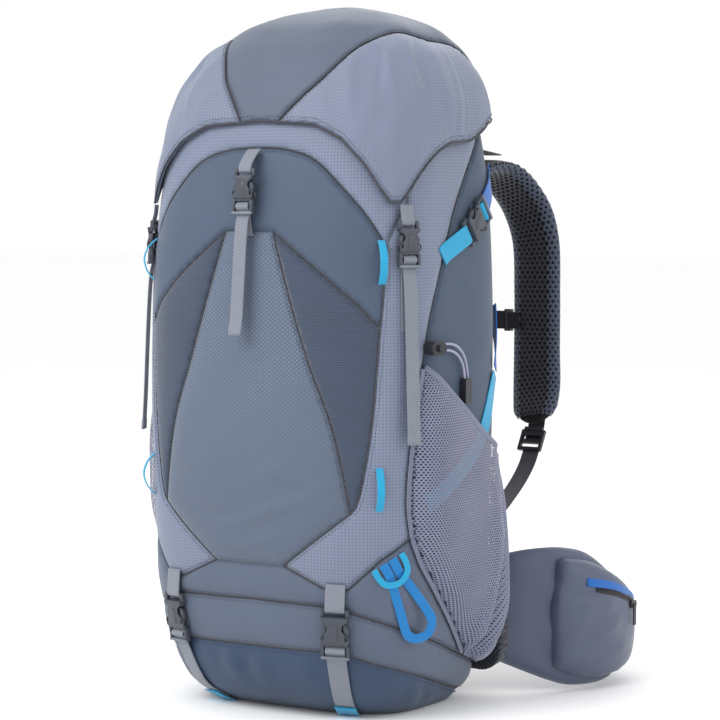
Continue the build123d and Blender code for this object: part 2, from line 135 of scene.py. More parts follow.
# %% Sections of the bag and the lid
FRONT_POWER, BACK_POWER, WIDEST = 3.2, 5.0, 0.52
HALF_ROUND = 430.0  # half the pack's girth, on the flat drawing
# height, half-width, front face and back face
BAG = [
    (0, 113, -48, 100), (14, 128, -76, 108), (40, 141, -99, 113), (75, 150, -111, 115),
    (120, 156, -118, 116), (200, 160, -122, 116), (320, 163, -124, 117), (430, 161, -123, 119),
    (500, 156, -118, 120), (560, 148, -106, 120), (610, 138, -90, 118),
]
LID = [
    (480, 164, -127, 128), (560, 156, -113, 129), (600, 151, -97, 129), (640, 136, -72, 121),
    (670, 113, -45, 106), (690, 80, -12, 84), (700, 42, 16, 58), (703.5, 12, 30, 44),
]


def station(z, table):
    """The section's sizes at a height, on a smooth curve through the table's rows."""
    t = np.array(table, float)
    zs, v = t[:, 0], t[:, 1:]
    d = np.diff(zs)
    slope = np.diff(v, axis=0) / d[:, None]
    inner = (slope[:-1] * d[1:, None] + slope[1:] * d[:-1, None]) / (d[:-1] + d[1:])[:, None]
    m = np.vstack([slope[0], inner, slope[-1]])
    z = min(max(z, zs[0]), zs[-1])
    i = min(int(np.searchsorted(zs, z, side="right")) - 1, len(zs) - 2)
    h = d[i]
    x = (z - zs[i]) / h
    return ((2 * x**3 - 3 * x**2 + 1) * v[i] + (x**3 - 2 * x**2 + x) * h * m[i]
            + (3 * x**2 - 2 * x**3) * v[i + 1] + (x**3 - x**2) * h * m[i + 1])


def ring(angle, half, front, back):
    """The section's outline; the angle is 0 at the middle of the front and grows towards +X."""
    s, c = -np.cos(angle), np.sin(angle)
    middle = front + WIDEST * (back - front)
    power = np.where(s < 0, FRONT_POWER, BACK_POWER)
    depth = np.where(s < 0, middle - front, back - middle)
    x = half * np.abs(c) ** (2 / power) * np.sign(c)
    y = middle + depth * np.abs(s) ** (2 / power) * np.sign(s)
    return x, y


class Skin:
    """A surface given as a grid of points, read anywhere with its outward normal."""

    def __init__(self, rows, columns, points):
        self.rows, self.columns, self.points = rows, columns, points
        across, down = np.gradient(points, axis=1), np.gradient(points, axis=0)
        n = np.cross(across, down)
        length = np.linalg.norm(n, axis=2, keepdims=True)
        n = n / np.maximum(length, 1e-9)
        away = points - points.mean((0, 1))
        if (n * away).sum() < 0:
            n = -n
        self.normals = n

    def at(self, column, row):
        """Points and normals at drawing coordinates."""
        c = np.clip((column - self.columns[0]) / (self.columns[1] - self.columns[0]), 0, len(self.columns) - 1.001)
        r = np.interp(row, self.rows, np.arange(len(self.rows)))
        r = np.clip(r, 0, len(self.rows) - 1.001)
        i, j = r.astype(int), c.astype(int)
        a, b = (r - i)[:, None], (c - j)[:, None]
        found = []
        for g in (self.points, self.normals):
            found.append((1 - a) * (1 - b) * g[i, j] + (1 - a) * b * g[i, j + 1]
                         + a * (1 - b) * g[i + 1, j] + a * b * g[i + 1, j + 1])
        n = found[1] / np.maximum(np.linalg.norm(found[1], axis=1, keepdims=True), 1e-9)
        return found[0], n


SOLE = 110.0  # heights below zero run under the base, from its rim to its middle


def bag_skin():
    """The packbag from the middle of its underside up to the mouth."""
    rows = np.concatenate([np.arange(-SOLE, 0, 5.0), np.arange(0, 611, 2.5)])
    angle = np.linspace(-pi, pi, 1441)
    share = np.linspace(-1, 1, 513)
    points = np.zeros((len(rows), len(share), 3))
    for k, z in enumerate(rows):
        half, front, back = station(max(z, 0), BAG)
        x, y = ring(angle, half, front, back)
        s = np.concatenate([[0], np.cumsum(np.hypot(np.diff(x), np.diff(y)))])
        s = 2 * s / s[-1] - 1
        x, y = np.interp(share, s, x), np.interp(share, s, y)
        if z < 0:
            keep = (SOLE + z) / SOLE
            x, y = x * keep, 26 + (y - 26) * keep
        points[k, :, 0], points[k, :, 1], points[k, :, 2] = x, y, max(z, 0)
    return Skin(rows, share * HALF_ROUND, points)


BAG_SKIN = bag_skin()


def bag(u, z):
    """Points and normals of the packbag; u may run on past the middle of the back."""
    u = (np.asarray(u, float) + HALF_ROUND) % (2 * HALF_ROUND) - HALF_ROUND
    return BAG_SKIN.at(u, np.asarray(z, float))


def eased(angle):
    """Directions eased near the middle of the front and back, where equal steps would leave a gap."""
    s, edge = np.sin(angle), sin(radians(14))
    power = np.where(np.cos(angle) > 0, FRONT_POWER, BACK_POWER)
    s = np.where(np.abs(s) < edge, edge * (np.abs(s) / edge) ** (power / 2) * np.sign(s), s)
    return np.where(np.cos(angle) > 0, np.arcsin(s), np.sign(angle) * pi - np.arcsin(s))


def lid_skin():
    """The lid's dome by direction from the front and distance from its crown."""
    heights = np.concatenate([[703.5, 702, 700, 697, 693], np.arange(690, 479, -2.5)])
    angle = np.linspace(-pi, pi, 721)
    columns = np.zeros((len(heights), len(angle), 3))
    for k, z in enumerate(heights):
        half, front, back = station(z, LID)
        columns[k, :, 0], columns[k, :, 1] = ring(eased(angle), half, front, back)
        columns[k, :, 2] = z
    crown = columns[0].mean(0)
    s = np.zeros(columns.shape[:2])
    s[0] = np.linalg.norm(columns[0] - crown, axis=1)
    s[1:] = s[0] + np.cumsum(np.linalg.norm(np.diff(columns, axis=0), axis=2), axis=0)
    rows = np.arange(0, 342, 3.0)
    points = np.zeros((len(rows), len(angle), 3))
    for j in range(len(angle)):
        line = np.vstack([crown, columns[:, j]])
        along = np.concatenate([[0], s[:, j]])
        for axis in range(3):
            points[:, j, axis] = np.interp(rows, along, line[:, axis])
    return Skin(rows, np.degrees(angle), points)


LID_SKIN = lid_skin()


def dome(p, q):
    """Points and normals of the lid; p and q are distances from its crown, q negative to the front."""
    return LID_SKIN.at(np.degrees(np.arctan2(p, -np.asarray(q))), np.hypot(p, q))


print("girth", round(float(np.linalg.norm(np.diff(BAG_SKIN.points[150], axis=0), axis=1).sum())), "mm")

# %% [markdown]
# ## Cutting and sewing
# A panel is cut from an outline, filled with an even net of triangles and laid on the skin. Cloth that is sewn at
# its edges and pushed out from inside dips at the seams and stands proud between them, so each point is lifted by
# how far it is from the nearest seam. Creases and puckers are added where the cloth has them.

# %% Cutting a panel
def curve(*points, gap=4.0):
    """A smooth line through given points, with a point about every gap millimetres."""
    p = np.array(points, float)
    ends = np.vstack([2 * p[0] - p[1], p, 2 * p[-1] - p[-2]])
    line = []
    for a, b, c, d in zip(ends, ends[1:], ends[2:], ends[3:]):
        count = max(2, int(np.linalg.norm(c - b) / gap))
        for t in np.linspace(0, 1, count, endpoint=False):
            line.append(0.5 * (2 * b + (c - a) * t + (2 * a - 5 * b + 4 * c - d) * t**2
                               + (3 * b - a - 3 * c + d) * t**3))
    return np.array(line + [p[-1]])


def straight(*points, gap=4.0):
    """A line with corners at its points."""
    line = [np.array(points[0], float)]
    for a, b in zip(points, points[1:]):
        a, b = np.array(a, float), np.array(b, float)
        count = max(1, int(np.linalg.norm(b - a) / gap))
        line += [a + (b - a) * (i + 1) / count for i in range(count)]
    return np.array(line)


def flipped(line):
    """The same line on the other side of the pack, run backwards so that outlines stay in order."""
    return (line * (-1, 1))[::-1]


def outline(*lines):
    """A closed outline from lines laid end to end."""
    joined = np.vstack(lines)
    keep = np.linalg.norm(joined - np.roll(joined, 1, axis=0), axis=1) > 0.4
    return joined[keep]


def inside(points, loop):
    """Which points lie inside a closed outline."""
    x, y = points[:, 0][:, None], points[:, 1][:, None]
    a, b = loop, np.roll(loop, -1, axis=0)
    crosses = (a[:, 1] > y) != (b[:, 1] > y)
    rise = np.where(b[:, 1] == a[:, 1], 1e-9, b[:, 1] - a[:, 1])
    return (crosses & (x < (b[:, 0] - a[:, 0]) * (y - a[:, 1]) / rise + a[:, 0])).sum(1) % 2 == 1


def to_seam(points, loop):
    """Distance from each point to an outline, and how far round the outline the nearest place is."""
    a = loop
    ab = np.roll(loop, -1, axis=0) - a
    length = np.linalg.norm(ab, axis=1)
    start = np.concatenate([[0], np.cumsum(length)[:-1]])
    best, place = np.full(len(points), 1e9), np.zeros(len(points))
    for block in range(0, len(points), 4000):
        p = points[block:block + 4000]
        t = ((p[:, None] - a) * ab).sum(2) / np.maximum(length**2, 1e-9)
        t = np.clip(t, 0, 1)
        d = np.linalg.norm(p[:, None] - a - t[..., None] * ab, axis=2)
        k = d.argmin(1)
        rows = np.arange(len(p))
        best[block:block + 4000] = d[rows, k]
        place[block:block + 4000] = start[k] + t[rows, k] * length[k]
    return best, place


def filled(loop, gap):
    """An even triangle net inside an outline: its points and faces."""
    low, high = loop.min(0), loop.max(0)
    rows = np.arange(low[1], high[1], gap * 0.866)
    net = [(x, y) for i, y in enumerate(rows) for x in np.arange(low[0] + (i % 2) * gap / 2, high[0], gap)]
    net = np.array(net) if net else np.zeros((0, 2))
    net = net[inside(net, loop)]
    net = net[to_seam(net, loop)[0] > gap * 0.5]
    points = np.vstack([loop, net])
    made = delaunay_2d_cdt([Vector(p) for p in points], [], [list(range(len(loop)))], 1, 1e-4)
    return np.array([tuple(v) for v in made[0]]), [tuple(f) for f in made[2]]


def mesh_object(name, points, faces, uv=None):
    """A mesh piece from points in millimetres, with its flat drawing as the UV map, in metres."""
    mesh = bpy.data.meshes.new(name)
    mesh.from_pydata([tuple(p) for p in np.asarray(points) * MM], [], faces)
    if uv is not None:
        layer = mesh.uv_layers.new(name="cut")
        corners = np.zeros(len(mesh.loops), int)
        mesh.loops.foreach_get("vertex_index", corners)
        layer.data.foreach_set("uv", (np.asarray(uv)[corners] * MM).ravel())
    mesh.shade_smooth()
    piece = bpy.data.objects.new(name, mesh)
    bpy.context.scene.collection.objects.link(piece)
    return piece


def select_only(piece):
    """Makes one piece the only selected one, and the active one."""
    bpy.ops.object.select_all(action="DESELECT")
    piece.select_set(True)
    bpy.context.view_layer.objects.active = piece


def turn_over(piece):
    """Turns every face of a piece over."""
    select_only(piece)
    bpy.ops.object.mode_set(mode="EDIT")
    bpy.ops.mesh.select_all(action="SELECT")
    bpy.ops.mesh.flip_normals()
    bpy.ops.object.mode_set(mode="OBJECT")


def faces_outwards(piece):
    """Turns a closed piece's faces outwards."""
    select_only(piece)
    bpy.ops.object.mode_set(mode="EDIT")
    bpy.ops.mesh.select_all(action="SELECT")
    bpy.ops.mesh.normals_make_consistent(inside=False)
    bpy.ops.object.mode_set(mode="OBJECT")


def apply_modifier(piece, kind, **settings):
    """Adds a modifier by hand, sets it and applies it."""
    select_only(piece)
    bpy.ops.object.modifier_add(type=kind)
    modifier = piece.modifiers[-1]
    for key, value in settings.items():
        setattr(modifier, key, value)
    bpy.ops.object.modifier_apply(modifier=modifier.name)


SOLE_GAP = 0.0003  # metres that the lowest cloth lies over the floor


def finish_piece(piece, material, body, replaces=()):
    """Gives a piece its finish and its body, and hides the nodes it replaces; a piece given two bodies is only baked
    in place.
    """
    if piece.type == "MESH":
        for vertex in piece.data.vertices:
            vertex.co.z = max(vertex.co.z, SOLE_GAP)
    piece.data.materials.clear()
    piece.data.materials.append(material)
    if isinstance(body, str):
        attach(piece, body)
    else:
        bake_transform(piece)
    if replaces:
        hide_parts(*replaces)
    return piece


def creases(points, folds):
    """Height that listed folds add: each is from, to, width and height, and fades at its ends."""
    lift = np.zeros(len(points))
    for x0, y0, x1, y1, width, height in folds:
        a, d = np.array([x0, y0]), np.array([x1 - x0, y1 - y0], float)
        length = np.linalg.norm(d)
        rel = points - a
        t = rel @ d / length**2
        side = (rel[:, 0] * d[1] - rel[:, 1] * d[0]) / length
        bow = width * 0.6 * np.sin(np.clip(t, 0, 1) * pi * 1.3)
        fade = np.clip(np.minimum(t, 1 - t) * 2.6 + 0.15, 0, 1)
        lift += height * fade**2 * (3 - 2 * fade) * np.exp(-(((side - bow) / width) ** 2))
    return lift


def ripple(points, size, seed):
    """Gentle unevenness from smooth noise, between -1 and 1."""
    return np.array([noise.noise(Vector((x / size, y / size, seed))) for x, y in points])


def sewn(name, loop, skin, gap=5.0, base=-0.4, puff=1.8, soft=16.0, dip=1.6, pucker=0.0, wave=11.0,
         folds=(), rough=0.5, seed=1.0, thick=0.8, extra=None):
    """A panel cut to an outline and sewn down at its edges, as one closed cloth."""
    flat, faces = filled(loop, gap)
    d, place = to_seam(flat, loop)
    lift = base - dip * np.exp(-((d / 2.6) ** 2)) + puff * (1 - np.exp(-d / soft))
    if pucker:
        beat = np.sin(place * 2 * pi / wave + 1.7 * ripple(np.c_[place / 3, d / 9], 9.0, seed + 5))
        lift += pucker * np.exp(-d / 13.0) * beat * np.clip(d / 3.0, 0, 1)
    lift += rough * ripple(flat, 46.0, seed) * np.clip(d / 10.0, 0, 1)
    lift += creases(flat, folds) * np.clip(d / 6.0, 0, 1)
    if extra is not None:
        lift += extra(flat, d)
    p, n = skin(flat[:, 0], flat[:, 1])
    piece = mesh_object(name, p + n * lift[:, None], faces, flat)
    outward(piece, n, faces)
    if thick:
        apply_modifier(piece, "SOLIDIFY", thickness=thick * MM, offset=-1)
        piece.data.shade_smooth()
    return piece


def outward(piece, normals, faces):
    """Turns the faces over if the net was filled the other way round."""
    piece.data.update()
    side = sum(piece.data.polygons[i].normal.dot(Vector(normals[faces[i][0]])) for i in range(0, len(faces), 7))
    if side < 0:
        turn_over(piece)

# %% [markdown]
# ## Cloth and plastic
# All the pack cloth is nylon in a few blue-greys, and only the weave changes: ripstop with its little grid, plain
# cloth, ribbed stretch, a print of fine dots, and open mesh. The weave follows the cut, so it reads the panel's own
# UV map, which is in metres. Fine relief is bump, and the colour drifts a little, as real cloth's does.

# %% Finishes
class Finish:
    """Builds one material's nodes in plain steps."""

    def __init__(self, name, rough, sheen=0.0, specular=0.4):
        self.material = bpy.data.materials.new(name)
        self.material.use_nodes = True
        self.tree = self.material.node_tree
        self.shader = self.tree.nodes["Principled BSDF"]
        self.shader.inputs["Roughness"].default_value = rough
        self.shader.inputs["Specular IOR Level"].default_value = specular
        if sheen:
            self.shader.inputs["Sheen Weight"].default_value = sheen
            self.shader.inputs["Sheen Roughness"].default_value = 0.45

    def node(self, kind, **settings):
        """Adds a shader node."""
        made = self.tree.nodes.new(kind)
        for key, value in settings.items():
            setattr(made, key, value)
        return made

    def link(self, source, target):
        """Joins an output to an input."""
        self.tree.links.new(source, target)

    def math(self, operation, a, b=None, clamp=False):
        """A math node of two values."""
        made = self.node("ShaderNodeMath", operation=operation, use_clamp=clamp)
        for socket, value in zip(made.inputs, (a, b)):
            if value is None:
                continue
            if isinstance(value, (int, float)):
                socket.default_value = value
            else:
                self.link(value, socket)
        return made.outputs[0]

    def cut(self):
        """The panel's flat drawing, in metres, split in across and up."""
        uv = self.node("ShaderNodeUVMap", uv_map="cut")
        split = self.node("ShaderNodeSeparateXYZ")
        self.link(uv.outputs[0], split.inputs[0])
        return uv.outputs[0], split.outputs[0], split.outputs[1]

    def place(self):
        """Object coordinates."""
        return self.node("ShaderNodeTexCoord").outputs["Object"]

    def stripes(self, value, pitch, phase=0.0):
        """A wave from 0 to 1 along one coordinate."""
        turned = self.math("MULTIPLY_ADD", value, 2 * pi / pitch)
        turned.node.inputs[2].default_value = phase
        wave = self.math("MULTIPLY_ADD", self.math("SINE", turned), 0.5)
        wave.node.inputs[2].default_value = 0.5
        return wave

    def cloud(self, coordinates, scale, detail=3.0):
        """Soft noise."""
        made = self.node("ShaderNodeTexNoise")
        self.link(coordinates, made.inputs["Vector"])
        made.inputs["Scale"].default_value = scale
        made.inputs["Detail"].default_value = detail
        return made.outputs["Fac"]

    def tint(self, factor, dark, light):
        """A blend of two colours."""
        mix = self.node("ShaderNodeMix", data_type="RGBA")
        self.link(factor, mix.inputs["Factor"])
        mix.inputs["A"].default_value = (*dark, 1)
        mix.inputs["B"].default_value = (*light, 1)
        return mix.outputs["Result"]

    def colour(self, output):
        """Feeds the base colour."""
        self.link(output, self.shader.inputs["Base Color"])

    def bump(self, height, distance, strength=1.0):
        """Feeds fine relief into the normal."""
        made = self.node("ShaderNodeBump")
        made.inputs["Distance"].default_value = distance
        made.inputs["Strength"].default_value = strength
        self.link(height, made.inputs["Height"])
        self.link(made.outputs[0], self.shader.inputs["Normal"])


STUDIO = 0.67  # the studio's light is stronger than a chart's, so the dyes are that much darker


def linear(*rgb):
    """Linear colour from the 0 to 255 steps that a colour chart prints."""
    return tuple(STUDIO * (((c / 255 + 0.055) / 1.055) ** 2.4 if c > 10 else c / 255 / 12.92) for c in rgb)


def shade(colour, factor):
    """A colour made lighter or darker by a factor."""
    return tuple(min(1.0, c * factor) for c in colour)


def plain_cloth(name, rgb, rough=0.62, sheen=0.15, weave=0.0009, contrast=0.12, specular=0.35):
    """Tight plain weave with a soft drift of colour."""
    f = Finish(name, rough, sheen, specular)
    uv, across, up = f.cut()
    drift = f.cloud(uv, 14, 4)
    threads = f.math("MULTIPLY", f.stripes(across, weave), f.stripes(up, weave))
    mixed = f.math("ADD", f.math("MULTIPLY", drift, 0.75), f.math("MULTIPLY", threads, 0.25))
    f.colour(f.tint(mixed, shade(linear(*rgb), 1 - contrast), shade(linear(*rgb), 1 + contrast)))
    f.bump(f.math("ADD", threads, f.math("MULTIPLY", f.cloud(uv, 160, 2), 1.5)), 0.00012, 0.6)
    return f.material


def ripstop_cloth(name, rgb, pitch=0.0031, rough=0.6, sheen=0.2, depth=0.30):
    """Light ripstop: a fine net of heavier threads over a shiny ground."""
    f = Finish(name, rough, sheen, 0.4)
    uv, across, up = f.cut()
    line = f.math("MAXIMUM", f.stripes(across, pitch), f.stripes(up, pitch))
    line = f.math("POWER", line, 2.2)
    drift = f.cloud(uv, 11, 4)
    mixed = f.math("ADD", f.math("MULTIPLY", line, 0.62), f.math("MULTIPLY", drift, 0.38))
    f.colour(f.tint(mixed, shade(linear(*rgb), 1 - depth), shade(linear(*rgb), 1 + depth * 0.8)))
    f.bump(line, 0.00022, 0.7)
    return f.material


def ribbed_cloth(name, rgb, pitch=0.0023, rough=0.75):
    """Stretch cloth knitted in fine level ribs."""
    f = Finish(name, rough, 0.3, 0.25)
    uv, across, up = f.cut()
    wander = f.math("MULTIPLY_ADD", f.cloud(uv, 30, 2), 0.0012)
    f.link(up, wander.node.inputs[2])
    ribs = f.stripes(wander, pitch)
    drift = f.cloud(uv, 12, 3)
    mixed = f.math("ADD", f.math("MULTIPLY", ribs, 0.6), f.math("MULTIPLY", drift, 0.4))
    f.colour(f.tint(mixed, shade(linear(*rgb), 0.66), shade(linear(*rgb), 1.26)))
    f.bump(ribs, 0.0004, 0.9)
    return f.material


def dotted_cloth(name, rgb, pitch=0.0046, rough=0.7):
    """Stretch cloth with a staggered print of small pale dots that fades out downwards."""
    f = Finish(name, rough, 0.2, 0.3)
    uv, across, up = f.cut()
    first = f.math("MULTIPLY", f.stripes(across, pitch), f.stripes(up, pitch * 0.9))
    second = f.math("MULTIPLY", f.stripes(across, pitch, pi), f.stripes(up, pitch * 0.9, pi))
    dots = f.math("MAXIMUM", first, second)
    dots = f.math("MULTIPLY", f.math("SUBTRACT", dots, 0.72, clamp=True), 5.0, clamp=True)
    fade = f.math("MULTIPLY_ADD", up, 6.0, clamp=True)
    fade.node.inputs[2].default_value = -1.35
    print_ = f.math("MULTIPLY", dots, f.math("MULTIPLY", fade, f.cloud(uv, 24, 2)))
    grain = f.math("MULTIPLY", f.cloud(uv, 420, 2), 0.22)
    mixed = f.math("ADD", f.math("MULTIPLY", print_, 2.2), grain, clamp=True)
    f.colour(f.tint(mixed, shade(linear(*rgb), 0.86), shade(linear(*rgb), 1.75)))
    f.bump(f.math("ADD", dots, f.cloud(uv, 500, 1)), 0.00012, 0.5)
    return f.material


def woven_band(name, rgb, rough=0.6, pitch=0.0016):
    """Webbing: a tight herringbone whose ridges run across the band."""
    f = Finish(name, rough, 0.25, 0.35)
    uv, across, up = f.cut()
    slant = f.math("ADD", up, f.math("MULTIPLY", f.math("ABSOLUTE", across), 0.8))
    ridges = f.math("MULTIPLY", f.stripes(slant, pitch), f.stripes(across, pitch * 1.1))
    mixed = f.math("ADD", f.math("MULTIPLY", ridges, 0.7), f.math("MULTIPLY", f.cloud(uv, 60, 3), 0.4))
    f.colour(f.tint(mixed, shade(linear(*rgb), 0.78), shade(linear(*rgb), 1.22)))
    f.bump(ridges, 0.0003, 0.8)
    return f.material


def moulded(name, rgb, rough=0.42):
    """Satin nylon plastic with the faint orange peel of a mould."""
    f = Finish(name, rough, 0.0, 0.5)
    grain = f.cloud(f.place(), 900, 2)
    f.colour(f.tint(f.cloud(f.place(), 60, 3), shade(linear(*rgb), 0.88), shade(linear(*rgb), 1.12)))
    f.bump(grain, 0.00008, 0.35)
    return f.material


LID_DARK = plain_cloth("lid_cloth", (98, 110, 131), rough=0.58)
LIGHT = ripstop_cloth("light_ripstop", (131, 142, 167))
FRONT_DARK = plain_cloth("front_cloth", (82, 98, 122))
SIDE_DARK = plain_cloth("side_cloth", (74, 91, 115))
LOW_DARK = plain_cloth("lower_cloth", (99, 111, 133))
BASE_CLOTH = plain_cloth("base_cloth", (58, 80, 111), rough=0.5, sheen=0.1, contrast=0.16)
RIBBED = ribbed_cloth("ribbed_stretch", (76, 88, 110))
DOTTED = dotted_cloth("dotted_stretch", (104, 117, 138))
LINING = plain_cloth("lining", (58, 66, 82))

# %% [markdown]
# ## The packbag's panels
# The front carries the pack's look: a light arch under the lid, a dark field, a narrow dotted stretch pocket between
# ribbed stretch sides, and two light gores that start beside the front, run down and taper to points over the base
# straps. The lines are shared, so that a panel ends exactly where its neighbour begins.

# %% Seam lines, drawn for the side towards +X
ARCH = curve((129, 468), (115, 493), (94, 520), (64, 550), (32, 561), (0, 563))
GORE_TOP = straight((152, 600), (150, 510), (130, 468))
GORE_FRONT = curve((130, 468), (127, 422), (123, 375), (119, 315), (114, 268), (106, 222), (99, 209))
POINT_IN = straight((99, 209), (36, 155))
POINT_OUT = straight((36, 155), (76, 135), (97, 135), (126, 164), (156, 185))
POCKET_EDGE = curve((156, 185), (152, 215), (153, 250), (158, 300), (166, 352))
GORE_BACK = curve((166, 352), (173, 388), (185, 425), (213, 492), (244, 540), (286, 588))
CENTRE_EDGE = curve((25, 481), (44, 412), (62, 352), (81, 298), (92, 250), (99, 209))
RIB_TOP = straight((25, 481), (69, 444), (104, 412), (124, 388))
SEAM_TWO = curve((0, 119), (76, 117), (104, 110), (156, 91), (200, 73), (252, 52), (300, 38), (365, 32), (430, 30))
SEAM_THREE = curve((0, 71), (86, 70), (112, 63), (190, 37), (250, 17), (300, 9), (365, 8), (430, 8))
BACK_EDGE = straight((306, 590), (306, 38))
MESH_FRONT = curve((156, 185), (166, 160), (185, 132), (215, 95), (250, 53))


def part_of(line, low, high):
    """The stretch of a line whose across value lies between two values."""
    return line[(line[:, 0] >= low - 0.01) & (line[:, 0] <= high + 0.01)]


def shifted(line, by):
    """A line moved sideways on the drawing; plus is to the left of its run."""
    run = np.gradient(line, axis=0)
    run /= np.maximum(np.linalg.norm(run, axis=1, keepdims=True), 1e-9)
    return line + np.c_[-run[:, 1], run[:, 0]] * by


GORE_FRONT_HIGH = GORE_FRONT[GORE_FRONT[:, 1] >= 388]
GORE_FRONT_LOW = GORE_FRONT[GORE_FRONT[:, 1] <= 388]

PANELS = []


def panel(name, loop, material, slot, replaces=(), **shape):
    """One sewn panel of the packbag."""
    piece = sewn(name, loop, bag, **shape)
    finish_piece(piece, material, "pack", replaces)
    PANELS.append(piece)
    return piece


panel("lining", outline(straight((-430, 8), (430, 8)), straight((430, 600), (-430, 600))), LINING, "panel_fabric",
      ["front_panel", "back_panel", "side_panel_left", "side_panel_right"], gap=9.0, base=-4.2, puff=0.0, dip=0.0,
      rough=0.0)
upper = outline(ARCH, flipped(ARCH), (GORE_FRONT_HIGH * (-1, 1)), flipped(RIB_TOP), RIB_TOP, GORE_FRONT_HIGH[::-1])
panel("upper_front", upper, FRONT_DARK, "panel_fabric", puff=2.2, soft=26, folds=[(-60, 505, 30, 470, 16, 0.9)])
arch = outline(ARCH[::-1], GORE_TOP[::-1], straight((152, 600), (-152, 600)), GORE_TOP * (-1, 1), flipped(ARCH[::-1]))
panel("arch_band", arch, LIGHT, "light_fabric", puff=2.0, soft=12, pucker=0.15)
dotted = outline(CENTRE_EDGE, POINT_IN, straight((36, 155), (-36, 155)), flipped(POINT_IN), flipped(CENTRE_EDGE))


def pocket_swell(flat, d):
    """The stretch pocket stands further out low down, where it carries most."""
    low = np.exp(-(((flat[:, 1] - 255) / 120) ** 2))
    return 4.5 * low * np.exp(-((flat[:, 0] / 95) ** 2)) * np.clip(d / 14, 0, 1)


panel("stretch_centre", dotted, DOTTED, "stretch_fabric", ["stretch_pocket"], gap=4.5, puff=2.6, soft=20,
      extra=pocket_swell, pucker=0.25,
      folds=[(-50, 190, 45, 214, 6, 2.2), (-70, 214, 10, 196, 5, -1.8), (-20, 172, 50, 190, 5, 1.7),
             (10, 205, 88, 238, 6, 1.9),
             (20, 246, 84, 222, 7, -1.5), (-86, 262, -20, 250, 7, 1.3), (-30, 228, 60, 262, 9, 1.3)])
for side, sign in SIDES:
    rib = outline(RIB_TOP, GORE_FRONT_LOW, CENTRE_EDGE[::-1])
    gore = outline(GORE_TOP, GORE_FRONT, POINT_IN, POINT_OUT, POCKET_EDGE, GORE_BACK, straight((286, 588), (286, 600)))
    low = outline(GORE_BACK[::-1], POCKET_EDGE[::-1], MESH_FRONT, part_of(SEAM_TWO, 250, 306), BACK_EDGE[::-1])
    panel(f"stretch_rib_{side}", rib * (sign, 1), RIBBED, "stretch_fabric", gap=4.5, puff=1.4, soft=14)
    panel(f"gore_{side}", gore * (sign, 1), LIGHT, "light_fabric", gap=4.5, puff=2.0, soft=18,
          folds=[(sign * 118, 240, sign * 128, 330, 9, 0.7), (sign * 190, 545, sign * 160, 470, 12, 0.9)])
    panel(f"side_cloth_{side}", low * (sign, 1), SIDE_DARK, "panel_fabric", gap=5.5, puff=2.6, soft=30,
          folds=[(sign * 215, 440, sign * 285, 420, 14, 1.1), (sign * 200, 340, sign * 290, 380, 12, 1.0)])
lower = outline(straight((0, 155), (36, 155)), POINT_OUT, MESH_FRONT, part_of(SEAM_TWO, 0, 250)[::-1],
                flipped(part_of(SEAM_TWO, 0, 250)[::-1]), flipped(MESH_FRONT), flipped(POINT_OUT),
                straight((-36, 155), (0, 155)))
panel("lower_front", lower, LOW_DARK, "panel_fabric", puff=2.4, soft=14, pucker=0.3, wave=17,
      folds=[(-40, 140, 50, 136, 7, 0.8), (120, 148, 170, 118, 8, 0.9)])
band = outline(SEAM_TWO, straight((430, 30), (430, 8)), SEAM_THREE[::-1],
               flipped(SEAM_THREE[::-1]), straight((-430, 8), (-430, 30)), flipped(SEAM_TWO))
panel("flap_band", band, LOW_DARK, "panel_fabric", puff=2.2, soft=12, pucker=0.25, wave=15,
      folds=[(-60, 96, 60, 92, 8, 0.7), (120, 86, 220, 50, 7, 0.8)])
base = outline(SEAM_THREE, straight((430, 8), (430, -SOLE + 1)), straight((430, -SOLE + 1), (-430, -SOLE + 1), gap=12),
               straight((-430, -SOLE + 1), (-430, 8)), flipped(SEAM_THREE))


def base_gathers(flat, d):
    """Cloth gathered into the seam above: short folds that fan down the front of the base."""
    u, z = flat[:, 0], flat[:, 1]
    top = np.interp(np.abs(u), SEAM_THREE[:, 0], SEAM_THREE[:, 1])
    drop = np.clip((top - z) / 45, 0, 1)
    beat = np.sin(u / 8.2 + 1.6 * np.sin(u / 31) + drop * 1.2) + 0.5 * np.sin(u / 4.6 + 2)
    return 2.1 * beat * np.sin(drop * pi) ** 1.2 * np.exp(-drop) * (z > 2) * np.exp(-((u / 210) ** 4))


panel("base_cloth", base, BASE_CLOTH, "base_fabric", ["base_panel"], gap=6.0, base=-0.6, puff=1.4, soft=20,
      extra=base_gathers, thick=0)
back = outline(straight((306, 590), (306, 38)), part_of(SEAM_TWO, 306, 430),
               flipped(part_of(SEAM_TWO, 306, 430)) + (2 * HALF_ROUND, 0),
               straight((554, 38), (554, 590)), straight((554, 590), (306, 590)))
panel("back_cloth", back, FRONT_DARK, "panel_fabric", gap=7.0, puff=1.2, soft=30)
print("panels", len(PANELS), "faces", sum(len(p.data.polygons) for p in PANELS))

# %% [markdown]
# ## The lid
# The lid is a padded dome. A dark panel starts as a narrow strip at the front hem and widens over the crown and the
# back, between two light wings that wrap the sides and hang down to the strap corners.

# %% Lid panels
# hem heights by direction from the front
HEM = [(0, 589), (14, 585), (27, 571), (40, 546), (50, 520), (55, 509), (61, 509), (66, 520), (72, 535), (78, 548),
       (84, 559), (90, 568), (96, 578), (104, 588), (120, 594), (150, 597), (180, 598)]


def hem_line(start, stop, count):
    """The lid's lower edge between two directions, on the lid's flat drawing."""
    line = []
    for angle in np.linspace(start, stop, count):
        degrees = abs(angle)
        wanted = np.interp(degrees, [h[0] for h in HEM], [h[1] for h in HEM])
        j = int(round((angle + 180) * 2))
        heights = LID_SKIN.points[:, j, 2]
        s = np.interp(-wanted, -heights, LID_SKIN.rows)
        line.append((s * sin(radians(angle)), -s * cos(radians(angle))))
    return np.array(line)


